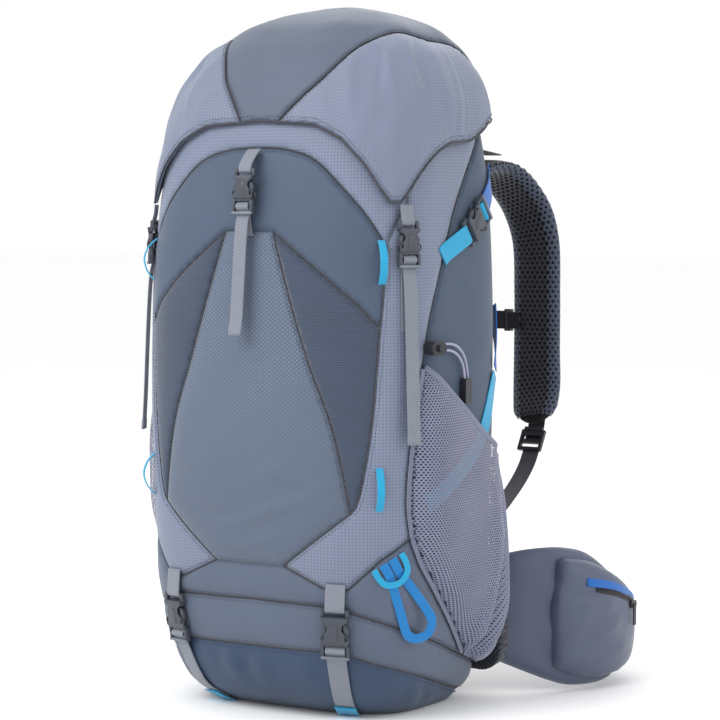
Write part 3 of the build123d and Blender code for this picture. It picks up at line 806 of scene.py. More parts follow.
WING_SEAM = curve((17, -191), (38, -150), (58, -119), (84, -84), (104, -42), (119, 0), (130, 38), (142, 74), (162, 98))
seam_end = float(np.degrees(np.arctan2(162, -98)))
front_end = float(np.degrees(np.arctan2(17, 191)))
LID_PIECES = []
for side, sign in SIDES:
    wing = outline(WING_SEAM, hem_line(seam_end, front_end, 110)) * (sign, 1)
    piece = sewn(f"lid_wing_{side}", wing, dome, gap=4.5, base=0.0, puff=3.4, soft=22, pucker=0.6, wave=13, rough=1.8,
                 folds=[(sign * 60, -110, sign * 110, -190, 11, 2.6), (sign * 85, -70, sign * 175, -130, 12, 2.4),
                        (sign * 118, -20, sign * 205, -60, 12, -2.2), (sign * 125, 0, sign * 220, -10, 10, 2.2),
                        (sign * 40, -160, sign * 80, -200, 8, 1.6), (sign * 96, -60, sign * 135, -150, 8, -1.8),
                        (sign * 112, -36, sign * 190, -88, 7, 1.5)], seed=sign)
    finish_piece(piece, LIGHT, "lid")
    LID_PIECES.append(piece)
centre = outline(WING_SEAM, hem_line(seam_end, 180, 40), hem_line(-180, -seam_end, 40), flipped(WING_SEAM),
                 hem_line(-front_end, front_end, 8))
piece = sewn("lid_centre", centre, dome, gap=5.0, base=0.0, puff=3.6, soft=30, pucker=0.3, wave=14, rough=1.2,
             folds=[(10, -60, 60, -90, 12, 1.2), (-40, 20, 60, 40, 22, 1.3)], seed=3)
finish_piece(piece, LID_DARK, "lid", ["lid_pocket"])
LID_PIECES.append(piece)
print("lid", [len(p.data.polygons) for p in LID_PIECES])

# %% [markdown]
# ## Moulded and cut parts keep their CAD shape
# Buckle bodies, sliders, frame sheet, stay and hoop are right in the CAD model, so they stay and only get a finish.
# Their patterns read Object coordinates, because a CAD node has no UV map.

# %% Finishes for hardware, webbing and foam
PLASTIC = moulded("buckle_plastic", (70, 76, 88))
PALE_PLASTIC = moulded("pale_plastic", (126, 135, 148), rough=0.36)
BLACK_PLASTIC = moulded("black_plastic", (44, 46, 52), rough=0.34)
FRAME_PLASTIC = moulded("frame_sheet_plastic", (66, 70, 78), rough=0.5)
WEB_GREY = woven_band("webbing_grey", (146, 152, 166))
WEB_LOW = woven_band("webbing_belt", (74, 72, 86))
WEB_BLACK = woven_band("webbing_black", (34, 35, 41))
WEB_BLUE = woven_band("webbing_blue", (10, 116, 214))
WEB_MID = woven_band("webbing_axe_blue", (10, 140, 222))
WEB_CYAN = woven_band("webbing_cyan", (28, 184, 236))


def brushed(name, rgb, rough):
    """Drawn metal, with fine lines along its length."""
    f = Finish(name, rough, 0.0, 0.5)
    f.shader.inputs["Metallic"].default_value = 1.0
    f.colour(f.tint(f.cloud(f.place(), 120, 4), shade(linear(*rgb), 0.8), shade(linear(*rgb), 1.1)))
    f.bump(f.cloud(f.place(), 1400, 2), 0.00005, 0.4)
    return f.material


METAL = brushed("stay_metal", (178, 182, 188), 0.35)
WIRE = brushed("hoop_wire", (150, 154, 160), 0.28)


def give(material, *nodes):
    """Puts a finish in every slot of a CAD node."""
    for node in nodes:
        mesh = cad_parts[node].data
        mesh.materials.clear()
        mesh.materials.append(material)


give(FRAME_PLASTIC, "frame_sheet")
give(WIRE, "frame_hoop")
give(METAL, "frame_stay")
give(BLACK_PLASTIC, "sternum_sliders", "strap_ladder_locks", "hip_zip_slider_left", "hip_zip_slider_right",
     "lid_zip_slider", "toggle_body", "toggle_button", "cord_pull")

# %% [markdown]
# ## Webbing
# Webbing is one flat band that follows a route. Each route point carries the way the face looks, so the band lies
# flat on the pack. The edges are rounded, and a tail ends in a hem: the last centimetre is folded back and sewn.

# %% Bands and places on the skin
def unit(v):
    """A direction of length one."""
    v = np.asarray(v, float)
    return v / max(float(np.linalg.norm(v)), 1e-9)


def band(name, route, looks, width, material, body, slot, replaces=(), thick=1.3, hem=0.0, gap=3.0, cup=0.0):
    """A flat woven band along a route; looks says which way its face looks at each point."""
    line = curve(*[tuple(p) + tuple(20 * unit(n)) for p, n in zip(route, looks)], gap=gap)
    p, n = line[:, :3], line[:, 3:]
    run = np.gradient(p, axis=0)
    run /= np.linalg.norm(run, axis=1, keepdims=True)
    side = np.cross(run, n)
    side /= np.linalg.norm(side, axis=1, keepdims=True)
    face = np.cross(side, run)
    along = np.concatenate([[0], np.cumsum(np.linalg.norm(np.diff(p, axis=0), axis=1))])
    half = width / 2
    spots = [(-half, 0.0), (-half + 0.35, 0.42), (-half + 1.1, 0.5), (-half / 2, 0.46), (0, 0.46), (half / 2, 0.46),
             (half - 1.1, 0.5), (half - 0.35, 0.42), (half, 0.0)]
    spots += [(x, -y) for x, y in spots[-2:0:-1]]
    points, uv, faces = [], [], []
    for i in range(len(p)):
        deep = thick * (2.0 if hem and along[-1] - along[i] < hem else 1.0)
        for x, y in spots:
            points.append(p[i] + side[i] * x + face[i] * (y * deep + cup * (1 - (x / half) ** 2)))
            uv.append((x, along[i]))
    k = len(spots)
    for i in range(len(p) - 1):
        for j in range(k):
            a, b = i * k + j, i * k + (j + 1) % k
            faces.append((a, b, b + k, a + k))
    faces.append(tuple(range(k))[::-1])
    faces.append(tuple(range((len(p) - 1) * k, len(p) * k)))
    piece = mesh_object(name, points, faces, uv)
    faces_outwards(piece)
    return finish_piece(piece, material, body, replaces)


def other_side(piece, name, body, replaces=()):
    """The mirrored piece for the pack's right-hand side, with its own mesh."""
    twin = bpy.data.objects.new(name, piece.data.copy())
    bpy.context.scene.collection.objects.link(twin)
    twin.data.transform(Matrix.Scale(-1, 4, (1, 0, 0)))
    turn_over(twin)
    return finish_piece(twin, piece.data.materials[0], body, replaces)


def to_right(body):
    """The right-hand body, or pair of bodies and their ends, that matches one on the left."""
    if isinstance(body, str):
        return body.replace("_left", "_right")
    return (*(name.replace("_left", "_right") for name in body[:2]), *(np.array(end) * (-1, 1, 1) for end in body[2:]))


def band_pair(name, route, looks, width, material, body, slot, replaces=(), **shape):
    """A band on the left and its mirror image on the right; nodes that hold both sides are replaced once."""
    left = band(f"{name}_left", route, looks, width, material, body, slot, replaces, **shape)
    twins = [node.replace("_left", "_right") for node in replaces if node.endswith("_left")]
    other_side(left, f"{name}_right", to_right(body), twins)


def cad_skin(z, x=None, y=None, grow=0.0):
    """The packbag's face as the CAD model has it, where buckles are seated."""
    half, front, back = [np.interp(z, [r[0] for r in BAG[:10]], [r[i] for r in BAG[:10]]) for i in (1, 2, 3)]
    half, front, back = half + grow, front - grow, back + grow
    middle = front + WIDEST * (back - front)
    if y is None:
        depth = (1 - abs(x / half) ** FRONT_POWER) ** (1 / FRONT_POWER)
        return np.array([x, middle - (middle - front) * depth, z])
    power, depth = (FRONT_POWER, middle - front) if y < middle else (BACK_POWER, back - middle)
    return np.array([half * (1 - abs((y - middle) / depth) ** power) ** (1 / power), y, z])


def seat(z, up, x=None, y=None, grow=1.0, reach=6):
    """A buckle's place on the skin: columns across, up the strap and out of the skin, and its origin."""
    above = cad_skin(z + 6, x, y, grow) - cad_skin(z - reach, x, y, grow)
    if y is None:
        beside = cad_skin(z, x + 6, None, grow) - cad_skin(z, x - 6, None, grow)
    else:
        beside = cad_skin(z, None, y + 6, grow) - cad_skin(z, None, y - 6, grow)
    out = unit(np.cross(beside, above))
    along = unit(np.array(up, float) - out * np.dot(up, out))
    return np.column_stack([np.cross(along, out), along, out]), cad_skin(z, x, y, grow)


def at(place, *points):
    """Points in a seat's own frame, as points of the pack."""
    turn, origin = place
    return [origin + turn @ np.array(p, float) for p in points]


SEATS = {
    "front": (seat(513, (0, 0, 1), x=0, grow=8.5, reach=110), 15),
    "lid": (seat(462, (0, 0, 1), y=-70, grow=1.8, reach=150), 15),
    "base": (seat(83, (0.02, 0, 1), x=94, grow=2.0), 20),
    "side": (seat(496, (0, -0.82, -0.57), y=50, grow=1.6), 20),
}
print("seats", {k: [round(float(c), 1) for c in v[0][1]] for k, v in SEATS.items()})

# %% [markdown]
# ## Side-release buckles
# A socket with a waist and two windows, and a tongue whose sprung wings show in those windows, on a ladder-lock frame
# with a pale lip. Plates are cut flat from an outline with holes, given thickness and rounded with a bevel; bars are
# rounded boxes. One buckle is modelled for each webbing width and copied to its seats.

# %% Modelling buckles
def plate(loops, z0, z1, bevel=0.7):
    """A flat plate with holes, from z0 to z1, with rounded edges."""
    loops = [outline(straight(*loop, loop[0], gap=2.5)) for loop in loops]
    points = np.vstack(loops)
    rings, start = [], 0
    for loop in loops:
        rings.append(list(range(start, start + len(loop))))
        start += len(loop)
    made = delaunay_2d_cdt([Vector(p) for p in points], [], rings, 1, 1e-4)
    flat = np.array([tuple(v) for v in made[0]])
    faces = [f for f in made[2] if not any(inside(flat[list(f)].mean(0)[None], h)[0] for h in loops[1:])]
    piece = mesh_object("plate", np.c_[flat, np.full(len(flat), z0)], faces)
    faces_outwards(piece)
    up = piece.data.polygons[0].normal.z
    apply_modifier(piece, "SOLIDIFY", thickness=(z1 - z0) * MM, offset=1 if up > 0 else -1, use_rim=True)
    apply_modifier(piece, "BEVEL", width=bevel * MM, segments=2, limit_method="ANGLE", angle_limit=radians(50))
    return piece


def bar(x0, x1, y0, y1, z0, z1, bevel=0.8):
    """A rounded bar between two corners."""
    bpy.ops.object.select_all(action="DESELECT")
    middle = ((x0 + x1) / 2 * MM, (y0 + y1) / 2 * MM, (z0 + z1) / 2 * MM)
    bpy.ops.mesh.primitive_cube_add(size=1, location=middle, scale=((x1 - x0) * MM, (y1 - y0) * MM, (z1 - z0) * MM))
    bpy.ops.object.transform_apply(location=True, rotation=True, scale=True)
    piece = bpy.context.object
    apply_modifier(piece, "BEVEL", width=bevel * MM, segments=2, limit_method="NONE")
    return piece


def joined(name, parts):
    """Several parts as one piece."""
    bpy.ops.object.select_all(action="DESELECT")
    for part in parts:
        part.select_set(True)
    bpy.context.view_layer.objects.active = parts[0]
    bpy.ops.object.join()
    piece = bpy.context.object
    piece.name = name
    piece.data.shade_smooth()
    select_only(piece)
    bpy.ops.object.shade_smooth_by_angle(angle=radians(42))
    return piece


def both(points):
    """An outline's right half, closed by its mirror image."""
    return points + [(-x, y) for x, y in points[::-1]]


def socket_parts(w):
    """The half that stays on the bag: two plates, a root, a rib and a webbing loop."""
    wide, deep = w + 9, w + 7
    h, waist = wide / 2, 0.25 * wide
    edge = both([(h - 1, 0), (h, 1.2), (h, 0.26 * deep), (waist + 1.6, 0.44 * deep), (waist, 0.54 * deep),
                 (waist + 0.6, 0.70 * deep), (h - 1.6, 0.86 * deep), (h - 0.6, deep)])
    ear = [(0.36 * wide, 0.14 * deep), (0.45 * wide, 0.15 * deep), (0.46 * wide, 0.27 * deep),
           (0.37 * wide, 0.34 * deep)]
    front = plate([edge, ear, [(-x, y) for x, y in ear[::-1]]], 6.3, 8.4)
    back = plate([edge], 0.0, 1.9)
    root = bar(-h + 1.6, h - 1.6, 0.80 * deep, deep, 0.6, 7.9, 1.2)
    rib = bar(-0.13 * wide, 0.13 * wide, 0.10 * deep, 0.72 * deep, 7.6, 8.9, 0.6)
    loop = [bar(-h, -h + 3.9, deep - 1, deep + 7.2, 1.0, 5.6, 1.2),
            bar(h - 3.9, h, deep - 1, deep + 7.2, 1.0, 5.6, 1.2),
            bar(-h, h, deep + 4.6, deep + 7.4, 0.9, 4.6, 1.3)]
    return [front, back, root, rib] + loop


def tongue_parts(w):
    """The half that comes away: a middle prong, two sprung wings and a ladder-lock frame."""
    wide, deep = w + 9, w + 7
    h = wide / 2
    arm = 0.34 * wide
    parts = [bar(-h + 1.5, h - 1.5, -3.0, 1.6, 1.9, 6.6, 1.2), bar(-1.7, 1.7, 0, 0.6 * deep, 2.3, 6.0, 0.8)]
    for s in (-1, 1):
        wing = [(arm - 1.4, 0.6), (arm + 1.2, 0.6), (h - 0.5, 0.36 * deep), (h - 0.4, 0.56 * deep),
                (arm + 1, 0.74 * deep), (arm - 1.4, 0.74 * deep)]
        wing = [(s * x, y) for x, y in wing]
        parts.append(plate([wing if s > 0 else wing[::-1]], 2.3, 6.2, 0.7))
        parts.append(bar(min(s * h, s * (h - 3.4)), max(s * h, s * (h - 3.4)), -15.6, -1.5, 1.2, 7.0, 1.2))
    parts.append(bar(-h + 2, h - 2, -9.0, -6.8, 1.8, 6.0, 1.0))
    return parts


def lip_parts(w):
    """The pale lip that is lifted to let the strap out."""
    h = (w + 9) / 2
    return [bar(-h, h, -15.9, -12.8, 4.4, 8.2, 1.3)]


def set_down(pattern, name, place, body, material, replaces=(), mirror=False):
    """A copy of a modelled part, placed at a seat, with its place in its mesh."""
    piece = bpy.data.objects.new(name, pattern.data.copy())
    bpy.context.scene.collection.objects.link(piece)
    turn, origin = place
    matrix = Matrix(np.vstack([np.c_[turn, np.array(origin) * MM], [0, 0, 0, 1]]).tolist())
    piece.data.transform(matrix)
    if mirror:
        piece.data.transform(Matrix.Scale(-1, 4, (1, 0, 0)))
        piece.data.flip_normals()
    return finish_piece(piece, material, body, replaces)


def chest(z):
    """The sternum buckle's seat: its strap runs across the wearer's chest."""
    return np.column_stack([(0, 0, 1), (1, 0, 0), (0, 1, 0)]).astype(float), np.array([0, 296.8, z])


WAIST = (chest(0)[0], np.array([0, 369.8, 62]))
PATTERNS = {w: (joined(f"socket_pattern_{w}", socket_parts(w)), joined(f"tongue_pattern_{w}", tongue_parts(w)),
                joined(f"lip_pattern_{w}", lip_parts(w))) for w in (15, 20, 38)}


def buckle(name, place, w, fixed, moving, node, mirror=False, nodes=()):
    """A whole buckle: its socket on one body, its tongue and pale lip on another."""
    socket, tongue, lip = PATTERNS[w]
    set_down(socket, f"{name}_socket_shell", place, fixed, PLASTIC, nodes, mirror)
    set_down(tongue, f"{name}_tongue_frame", place, moving, PLASTIC, node, mirror)
    set_down(lip, f"{name}_lock_lip", place, moving, PALE_PLASTIC, (), mirror)


buckle("front", SEATS["front"][0], 15, "pack", "front_clip", ["front_tongue"], nodes=["bag_sockets"])
for side, sign in SIDES:
    m = sign < 0
    buckle(f"lid_{side}", SEATS["lid"][0], 15, "lid", f"lid_clip_{side}", [f"lid_tongue_{side}"], m,
           ["lid_sockets"] if sign > 0 else ())
    buckle(f"base_{side}", SEATS["base"][0], 20, "pack", f"base_clip_{side}", [f"base_tongue_{side}"], m)
    buckle(f"side_{side}", SEATS["side"][0], 20, "pack", f"side_clip_{side}", [f"side_tongue_{side}"], m)
buckle("sternum", chest(380), 20, "sternum_strap", "sternum_clip", ["sternum_tongue"], nodes=["sternum_socket"])
buckle("hip", WAIST, 38, "belt_left", "hip_clip", ["hip_tongue"], nodes=["hip_socket"])
for group in PATTERNS.values():
    for pattern in group:
        bpy.data.objects.remove(pattern)

# %% [markdown]
# ## The straps on the bag
# Each strap comes up behind its ladder lock, over the middle bar and down behind the pale lip. The lid and front
# straps end in hanging tails. The base straps run on under the bag, and the side straps run back to the frame.

# %% Straps on the bag
def skin_run(points, lift):
    """Route points and their looks from drawing points on the bag."""
    p = np.array(points, float)
    where, n = bag(p[:, 0], p[:, 1])
    return list(where + n * lift), list(n)


def lock_run(place, high=7.3):
    """A strap's way through its ladder lock, from the upper slot out over the bar and behind the lip."""
    turn = place[0]
    route = at(place, (0, -3.6, 2.6), (0, -5.2, 5.6), (0, -7.9, high), (0, -10.8, 5.4), (0, -14.3, 3.1))
    looks = [turn @ unit(v) for v in ((0, 0.9, 0.6), (0, 0.7, 0.9), (0, 0, 1), (0, -0.6, 0.9), (0, -0.2, 1))]
    return route, looks


def out(place):
    """The way a seat faces."""
    return place[0][:, 2]


f = SEATS["front"][0]
route, looks = lock_run(f)
route += at(f, (0, -22, 5.2), (0, -40, 6.6), (0, -80, 7.2), (0, -112, 7.9), (0, -134, 9.2))
band("front_tail", route, looks + [out(f)] * 5, 15, WEB_GREY, "front_clip", "webbing_grey", ["front_strap_tail"],
     hem=11)
band("front_stub", at(f, (0, 49, -10), (0, 44, -5), (0, 38, 0), (0, 33, 3.4), (0, 27, 4.6), (0, 25.5, 3.2)),
     [f[0] @ unit((0, 0.7, 0.7))] * 3 + [out(f)] * 3, 15, WEB_GREY, "pack", "webbing_grey", ["socket_webbing"],
     thick=1.5)
band("front_anchor", at(f, (0, -6, 1.4), (0, -18, 0.6), (0, -28, -2.4), (0, -36, -5.0)), [out(f)] * 4, 13, WEB_GREY,
     "pack", "webbing_grey", ["anchor_webbing"])
print("front strap done")

# %% [markdown]
# The lid's straps hang from its corners: a short stub holds the socket, and the sewn end lies flat on the gore.

# %% Lid straps
l = SEATS["lid"][0]
route, looks = lock_run(l)
route += at(l, (0, -22, 5.0), (0, -50, 6.6), (0, -100, 7.4), (0, -150, 7.8), (0, -186, 8.6))
band_pair("lid_tail", route, looks + [out(l)] * 5, 15, WEB_GREY, "lid_clip_left", "webbing_grey",
          ["lid_strap_tail_left"], hem=11)
band_pair("lid_stub", at(l, (0, 45, 1.9), (0, 36, 2.6), (0, 27, 4.4), (0, 25.5, 3.2)), [out(l)] * 4, 15, WEB_GREY,
          "lid", "webbing_grey", ["lid_corner_webbing"], thick=1.5)
band_pair("lid_anchor", at(l, (0, -6, 1.4), (0, -20, 0.9), (0, -50, 0.8), (0, -78, 0.6)), [out(l)] * 4, 15,
          WEB_GREY, "pack", "webbing_grey")
print("lid straps done")

# %% [markdown]
# The base straps come out of the gores' feet and run down to cyan tabs at the rim of the base. The far end stays
# with the bag when the buckle opens.

# %% Base straps
b = SEATS["base"][0]
route, looks = lock_run(b)
sole, n = skin_run([(88, 53), (89, 38), (90, 22), (91, 7)], 2.6)
ends = np.array([sole[1], route[3]]) * MM
band_pair("base_strap", route + sole, looks + n, 20, WEB_GREY, ("pack", "base_clip_left", *ends), "webbing_grey")
tab, n = skin_run([(90.5, 15), (91, 8), (91, 2.5)], 4.2)
band_pair("base_tab", tab, n, 22, WEB_CYAN, "pack", "loop_cyan", thick=1.6)
band_pair("base_stub", at(b, (0, 58, -1.6), (0, 49, 1.0), (0, 41, 3.0), (0, 33, 4.6), (0, 31, 3.0)), [out(b)] * 5,
          20, WEB_GREY, "pack", "webbing_grey", thick=1.5)
print("base straps done")

# %% [markdown]
# The side straps squeeze the pack's upper sides. Lower down a blue strap comes round from the back, turns cyan and
# runs on under the mesh pocket, where it shows through the holes.

# %% Side straps
s = SEATS["side"][0]
route, looks = lock_run(s)
back_end, n = skin_run([(277, 516), (289, 527), (302, 542)], 3.8)
band_pair("side_loop", route[:4] + at(s, (0, -13.4, 3.4), (0, -17, 4.0)), looks[:4] + [out(s)] * 2, 20, WEB_CYAN,
          "side_clip_left", "loop_cyan")
ends = np.array([back_end[1], at(s, (0, -16, 2.6))[0]]) * MM
band_pair("side_strap", at(s, (0, -9, 2.4), (0, -16, 2.6)) + back_end, [out(s)] * 2 + n, 20, WEB_BLUE,
          ("pack", "side_clip_left", *ends), "webbing_blue")
front_end, n = skin_run([(193, 456), (200, 461)], 1.2)
band_pair("side_stub", front_end + at(s, (0, 33, 4.4), (0, 31, 3.0)), n + [out(s)] * 2, 20, WEB_CYAN, "pack",
          "loop_cyan", thick=1.5)
low_run, n = skin_run([(300, 366), (284, 336), (260, 284), (236, 256), (196, 229), (170, 216)], 3.0)
band_pair("low_strap", low_run[1:], n[1:], 20, WEB_CYAN, "pack", "loop_cyan")
back_run, look = skin_run([(304, 404), (299, 384), (292, 362), (285, 342)], 3.6)
band_pair("low_back_strap", back_run, look, 20, WEB_BLUE, "pack", "webbing_blue")
print("side straps done")

# %% [markdown]
# ## Loops
# Gear loops are flat cyan webbing, sewn into the seam at both ends so that they stand off the bag in an arc. The axe
# loop is a longer band that hangs from a cyan sleeve.

# %% Gear loops and the axe loop
for height, z in (("high", 452), ("low", 233)):
    y = -92 if z > 400 else -95
    g = seat(z, (0, 0, 1), y=y, grow=1.6)
    arc = [(0, -21, -1), (0, -17, 3.5), (0, -10, 8.5), (0, 0, 11), (0, 10, 8.5), (0, 17, 3.5), (0, 21, -1)]
    facing = [(0, -0.9, 0.5), (0, -0.8, 0.8), (0, -0.4, 1), (0, 0, 1), (0, 0.4, 1), (0, 0.8, 0.8), (0, 0.9, 0.5)]
    band_pair(f"gear_loop_{height}", at(g, *arc), [g[0] @ unit(v) for v in facing], 7.5, WEB_CYAN, "pack",
              "loop_cyan", ["gear_loops"] if height == "high" else (), thick=1.2, gap=1.5)
axe = seat(150, (0, -0.56, 0.82), y=-80, grow=1.4, reach=50)
legs = [(-5.4, 3, 1.4), (-5.6, -2, 1.9), (-8, -16, 2.2), (-13, -46, 2.2), (-15, -60, 2.4), (-9, -69, 2.7),
        (4, -71, 2.9), (13, -63, 2.5), (14, -50, 2.1), (9, -18, 1.9), (5.8, -2, 1.7), (5.4, 3, 1.2)]
band("axe_band", at(axe, *legs), [out(axe)] * len(legs), 9.5, WEB_MID, "axe_loop", "webbing_blue", ["axe_loop"],
     thick=1.2, gap=1.6)
for k, x in enumerate((-5.2, 5.2)):
    band(f"axe_root_{k}", at(axe, (x, 15, 0.4), (x, 8, 1.6), (x, -1, 2.4)), [out(axe)] * 3, 9.5, WEB_MID, "pack",
         "webbing_blue", thick=1.2, gap=1.6)
sleeve = [(-16, 15, 0.2), (-15.8, 5, 2.0), (-12, -4, 3.6), (0, -8.5, 4.8), (12, -4, 3.6), (15.8, 5, 2.0),
          (16, 15, 0.2)]
band("axe_sleeve", at(axe, *sleeve), [out(axe)] * len(sleeve), 6.5, WEB_CYAN, "pack", "loop_cyan", ["axe_keeper"],
     thick=1.2, gap=1.6)
print("loops done")

# %% [markdown]
# ## Bottle pockets of open mesh
# The side pockets are knitted mesh that you can see through, so the holes are real: each cell is a ring of six faces
# round a six-sided hole. The net is laid out flat and lifted off the bag by the pocket's fullness, with the deep fold
# that its back edge falls into.

# %% Mesh cloth
def honeycomb(loop, pitch, squeeze=1.0, margin=0.0):
    """Centres of the cells that fit inside an outline, and the cell's corner spokes."""
    low, high = loop.min(0), loop.max(0)
    step = pitch * 0.866 * squeeze
    rows = np.arange(low[1], high[1], step)
    net = np.array([(x, y) for i, y in enumerate(rows)
                    for x in np.arange(low[0] + (i % 2) * pitch / 2, high[0], pitch)])
    net = net[inside(net, loop)]
    if margin:
        net = net[to_seam(net, loop)[0] > margin]
    spokes = np.array([(cos(a), sin(a) * squeeze) for a in np.radians(np.arange(30, 390, 60))]) * pitch / 1.732
    return net, spokes


def net_mesh(name, centres, spokes, hole, place, depth=0.0):
    """Rings of faces round holes; place turns flat points and a height into points of the pack."""
    flat, faces, found, low = [], [], {}, []

    def corner(p, deep):
        """A corner's number, made once and shared by its neighbours."""
        key = (round(p[0] * 20), round(p[1] * 20), deep)
        if key not in found:
            found[key] = len(flat)
            flat.append(p)
            low.append(deep)
        return found[key]

    for c in centres:
        wide_open = hole(c) if callable(hole) else hole
        rim = [corner(c + s, 0) for s in spokes]
        ring_ = [corner(c + s * wide_open, 0) for s in spokes]
        for i in range(6):
            j = (i + 1) % 6
            faces.append((rim[i], rim[j], ring_[j], ring_[i]))
        if depth:
            foot = [corner(c + s * wide_open * 0.86, 1) for s in spokes]
            for i in range(6):
                j = (i + 1) % 6
                faces.append((ring_[i], ring_[j], foot[j], foot[i]))
    flat = np.array(flat)
    points, n = place(flat, -depth * np.array(low, float))
    piece = mesh_object(name, points, faces, flat)
    outward(piece, n, faces)
    return piece


def thread_cloth(name, dark, light, rough=0.55):
    """Knitted threads: pale on the crown and darker in the dips."""
    f = Finish(name, rough, 0.3, 0.35)
    uv, across, up = f.cut()
    twist = f.stripes(f.math("ADD", across, up), 0.0011)
    f.colour(f.tint(f.math("ADD", f.math("MULTIPLY", twist, 0.5), f.math("MULTIPLY", f.cloud(uv, 25, 3), 0.5)),
                    linear(*dark), linear(*light)))
    f.bump(twist, 0.0002, 0.6)
    return f.material


MESH_THREAD = thread_cloth("pocket_mesh", (118, 124, 150), (160, 164, 192))
MESH_HEM = woven_band("mesh_binding", (132, 137, 163), pitch=0.0022)
POCKET_TOP = curve((166, 352), (190, 330), (217, 306), (250, 281), (285, 257), (316, 243))
pocket = outline(POCKET_EDGE[::-1], MESH_FRONT, part_of(SEAM_TWO, 250, 316), straight((316, 37), (316, 243)),
                 POCKET_TOP[::-1])
# net coordinates run a little further round, because the full pocket is wider than the bag beneath it
sewn_edge = outline(POCKET_EDGE[::-1], MESH_FRONT, part_of(SEAM_TWO, 250, 318), straight((318, 37), (318, 243)),
                    straight((318, 243), (420, 520)), straight((420, 520), (166, 352)))


def pocket_lift(flat):
    """How far the pocket stands off the bag."""
    d = to_seam(flat, sewn_edge)[0]
    top = to_seam(flat, POCKET_TOP)[0]
    full = 3.0 + 19.5 * (1 - np.exp(-d / 11.0))
    lift = full * (0.42 + 0.58 * (1 - np.exp(-top / 42)))
    u, z = flat[:, 0], flat[:, 1]
    valley = np.interp(z, [30, 60, 110, 160, 205, 245, 270], [248, 256, 272, 281, 284, 284, 284])
    deep = np.interp(z, [40, 70, 120, 200, 240], [4, 13, 19, 17, 7])
    lift -= deep * np.exp(-(((u - valley) / 7.5) ** 2))
    lift += np.interp(z, [50, 100, 200, 240], [1, 5, 4, 0]) * np.exp(-(((u - valley - 15) / 8.0) ** 2))
    lift += np.interp(z, [50, 90, 180, 230], [0, 4.6, 4.2, 1]) * np.exp(-(((u - valley + 17) / 11.0) ** 2))
    lift += 1.1 * np.sin((z - 0.55 * u) / 13.0) * np.clip(d / 30, 0, 1) * np.exp(-(((u - 215) / 60) ** 2))
    lift += 1.0 * ripple(flat, 38.0, 4.0)
    return np.maximum(lift, 1.4)


def net_place(flat, extra):
    """Points of the pocket net on the pack, with their normals."""
    p, n = bag(flat[:, 0], flat[:, 1])
    return p + n * (pocket_lift(flat) + extra)[:, None], n


centres, spokes = honeycomb(pocket, 2.9, margin=0.7)
net = net_mesh("mesh_pocket_left", centres, spokes, lambda c: float(np.interp(c[0], [258, 286], [0.52, 0.3])),
               net_place)
finish_piece(net, MESH_THREAD, "pack", ["side_pocket_left"])
twin = other_side(net, "mesh_pocket_right", "pack", ["side_pocket_right"])
for piece in (net, twin):
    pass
rim, n = bag(POCKET_TOP[:, 0], POCKET_TOP[:, 1] - 2)
rim = rim + n * (pocket_lift(POCKET_TOP - (0, 2)) + 0.3)[:, None]
band_pair("mesh_pocket_hem", rim[::3], n[::3], 6.5, MESH_HEM, "pack", "mesh_fabric", thick=1.8)
for name, line in (("front", POCKET_EDGE), ("foot", MESH_FRONT)):
    run = shifted(line, 2.0 if name == "front" else -2.0)
    p, n = bag(run[:, 0], run[:, 1])
    band_pair(f"mesh_pocket_{name}", (p + n * 2.6)[::3], n[::3], 5.5, MESH_HEM, "pack", "mesh_fabric", thick=1.4)
print("net cells", len(centres), "faces", len(net.data.polygons))

# %% [markdown]
# ## Padded forms
# A pad is two cloth faces that meet in a seam with foam between them. Both faces are laid out on one flat net; each
# point is pushed out by how far it is from the seam, and a strip joins the edges, so the pad is one closed form.

# %% Pads
def pad(name, loop, outer, inner, gap=5.0):
    """A closed pad: outer and inner turn flat points and their distance from the seam into points of the pack."""
    flat, faces = filled(loop, gap)
    d, _ = to_seam(flat, loop)
    top, low = outer(flat, d), inner(flat, d)
    k, count = len(flat), len(loop)
    points = np.vstack([top, low])
    every = list(faces) + [tuple(i + k for i in f[::-1]) for f in faces]
    edges = {}
    for f in faces:
        for a, b in zip(f, f[1:] + f[:1]):
            edges[(a, b)] = True
    for a, b in list(edges):
        if (b, a) not in edges:
            every.append((b, a, a + k, b + k))
    piece = mesh_object(name, points, every, np.vstack([flat, flat]))
    faces_outwards(piece)
    return piece


def spacer_mesh(name, dark, light, pitch=0.0052):
    """Spacer mesh: rows of round pits in a knitted face."""
    f = Finish(name, 0.8, 0.25, 0.2)
    uv, across, up = f.cut()
    first = f.math("MULTIPLY", f.stripes(across, pitch), f.stripes(up, pitch * 1.2))
    second = f.math("MULTIPLY", f.stripes(across, pitch, pi), f.stripes(up, pitch * 1.2, pi))
    pits = f.math("POWER", f.math("MAXIMUM", first, second), 1.4)
    f.colour(f.tint(f.math("ADD", pits, f.math("MULTIPLY", f.cloud(uv, 60, 3), 0.25)), linear(*light), linear(*dark)))
    f.bump(f.math("SUBTRACT", 1.0, pits), 0.0011, 1.0)
    return f.material


FOAM = plain_cloth("foam_black", (22, 22, 26), rough=0.85, sheen=0.05)
NET_DARK = thread_cloth("strap_net", (34, 35, 43), (58, 60, 72), rough=0.5)
NET_EDGE = thread_cloth("strap_net_edge", (62, 70, 90), (96, 106, 130), rough=0.5)
BELT_CLOTH = plain_cloth("belt_cloth", (90, 100, 126), rough=0.42, sheen=0.1, contrast=0.16, specular=0.5)
STRAP_BACK = plain_cloth("strap_cloth", (40, 42, 50), rough=0.7)
SPACER = spacer_mesh("spacer_mesh", (26, 27, 32), (66, 70, 84))

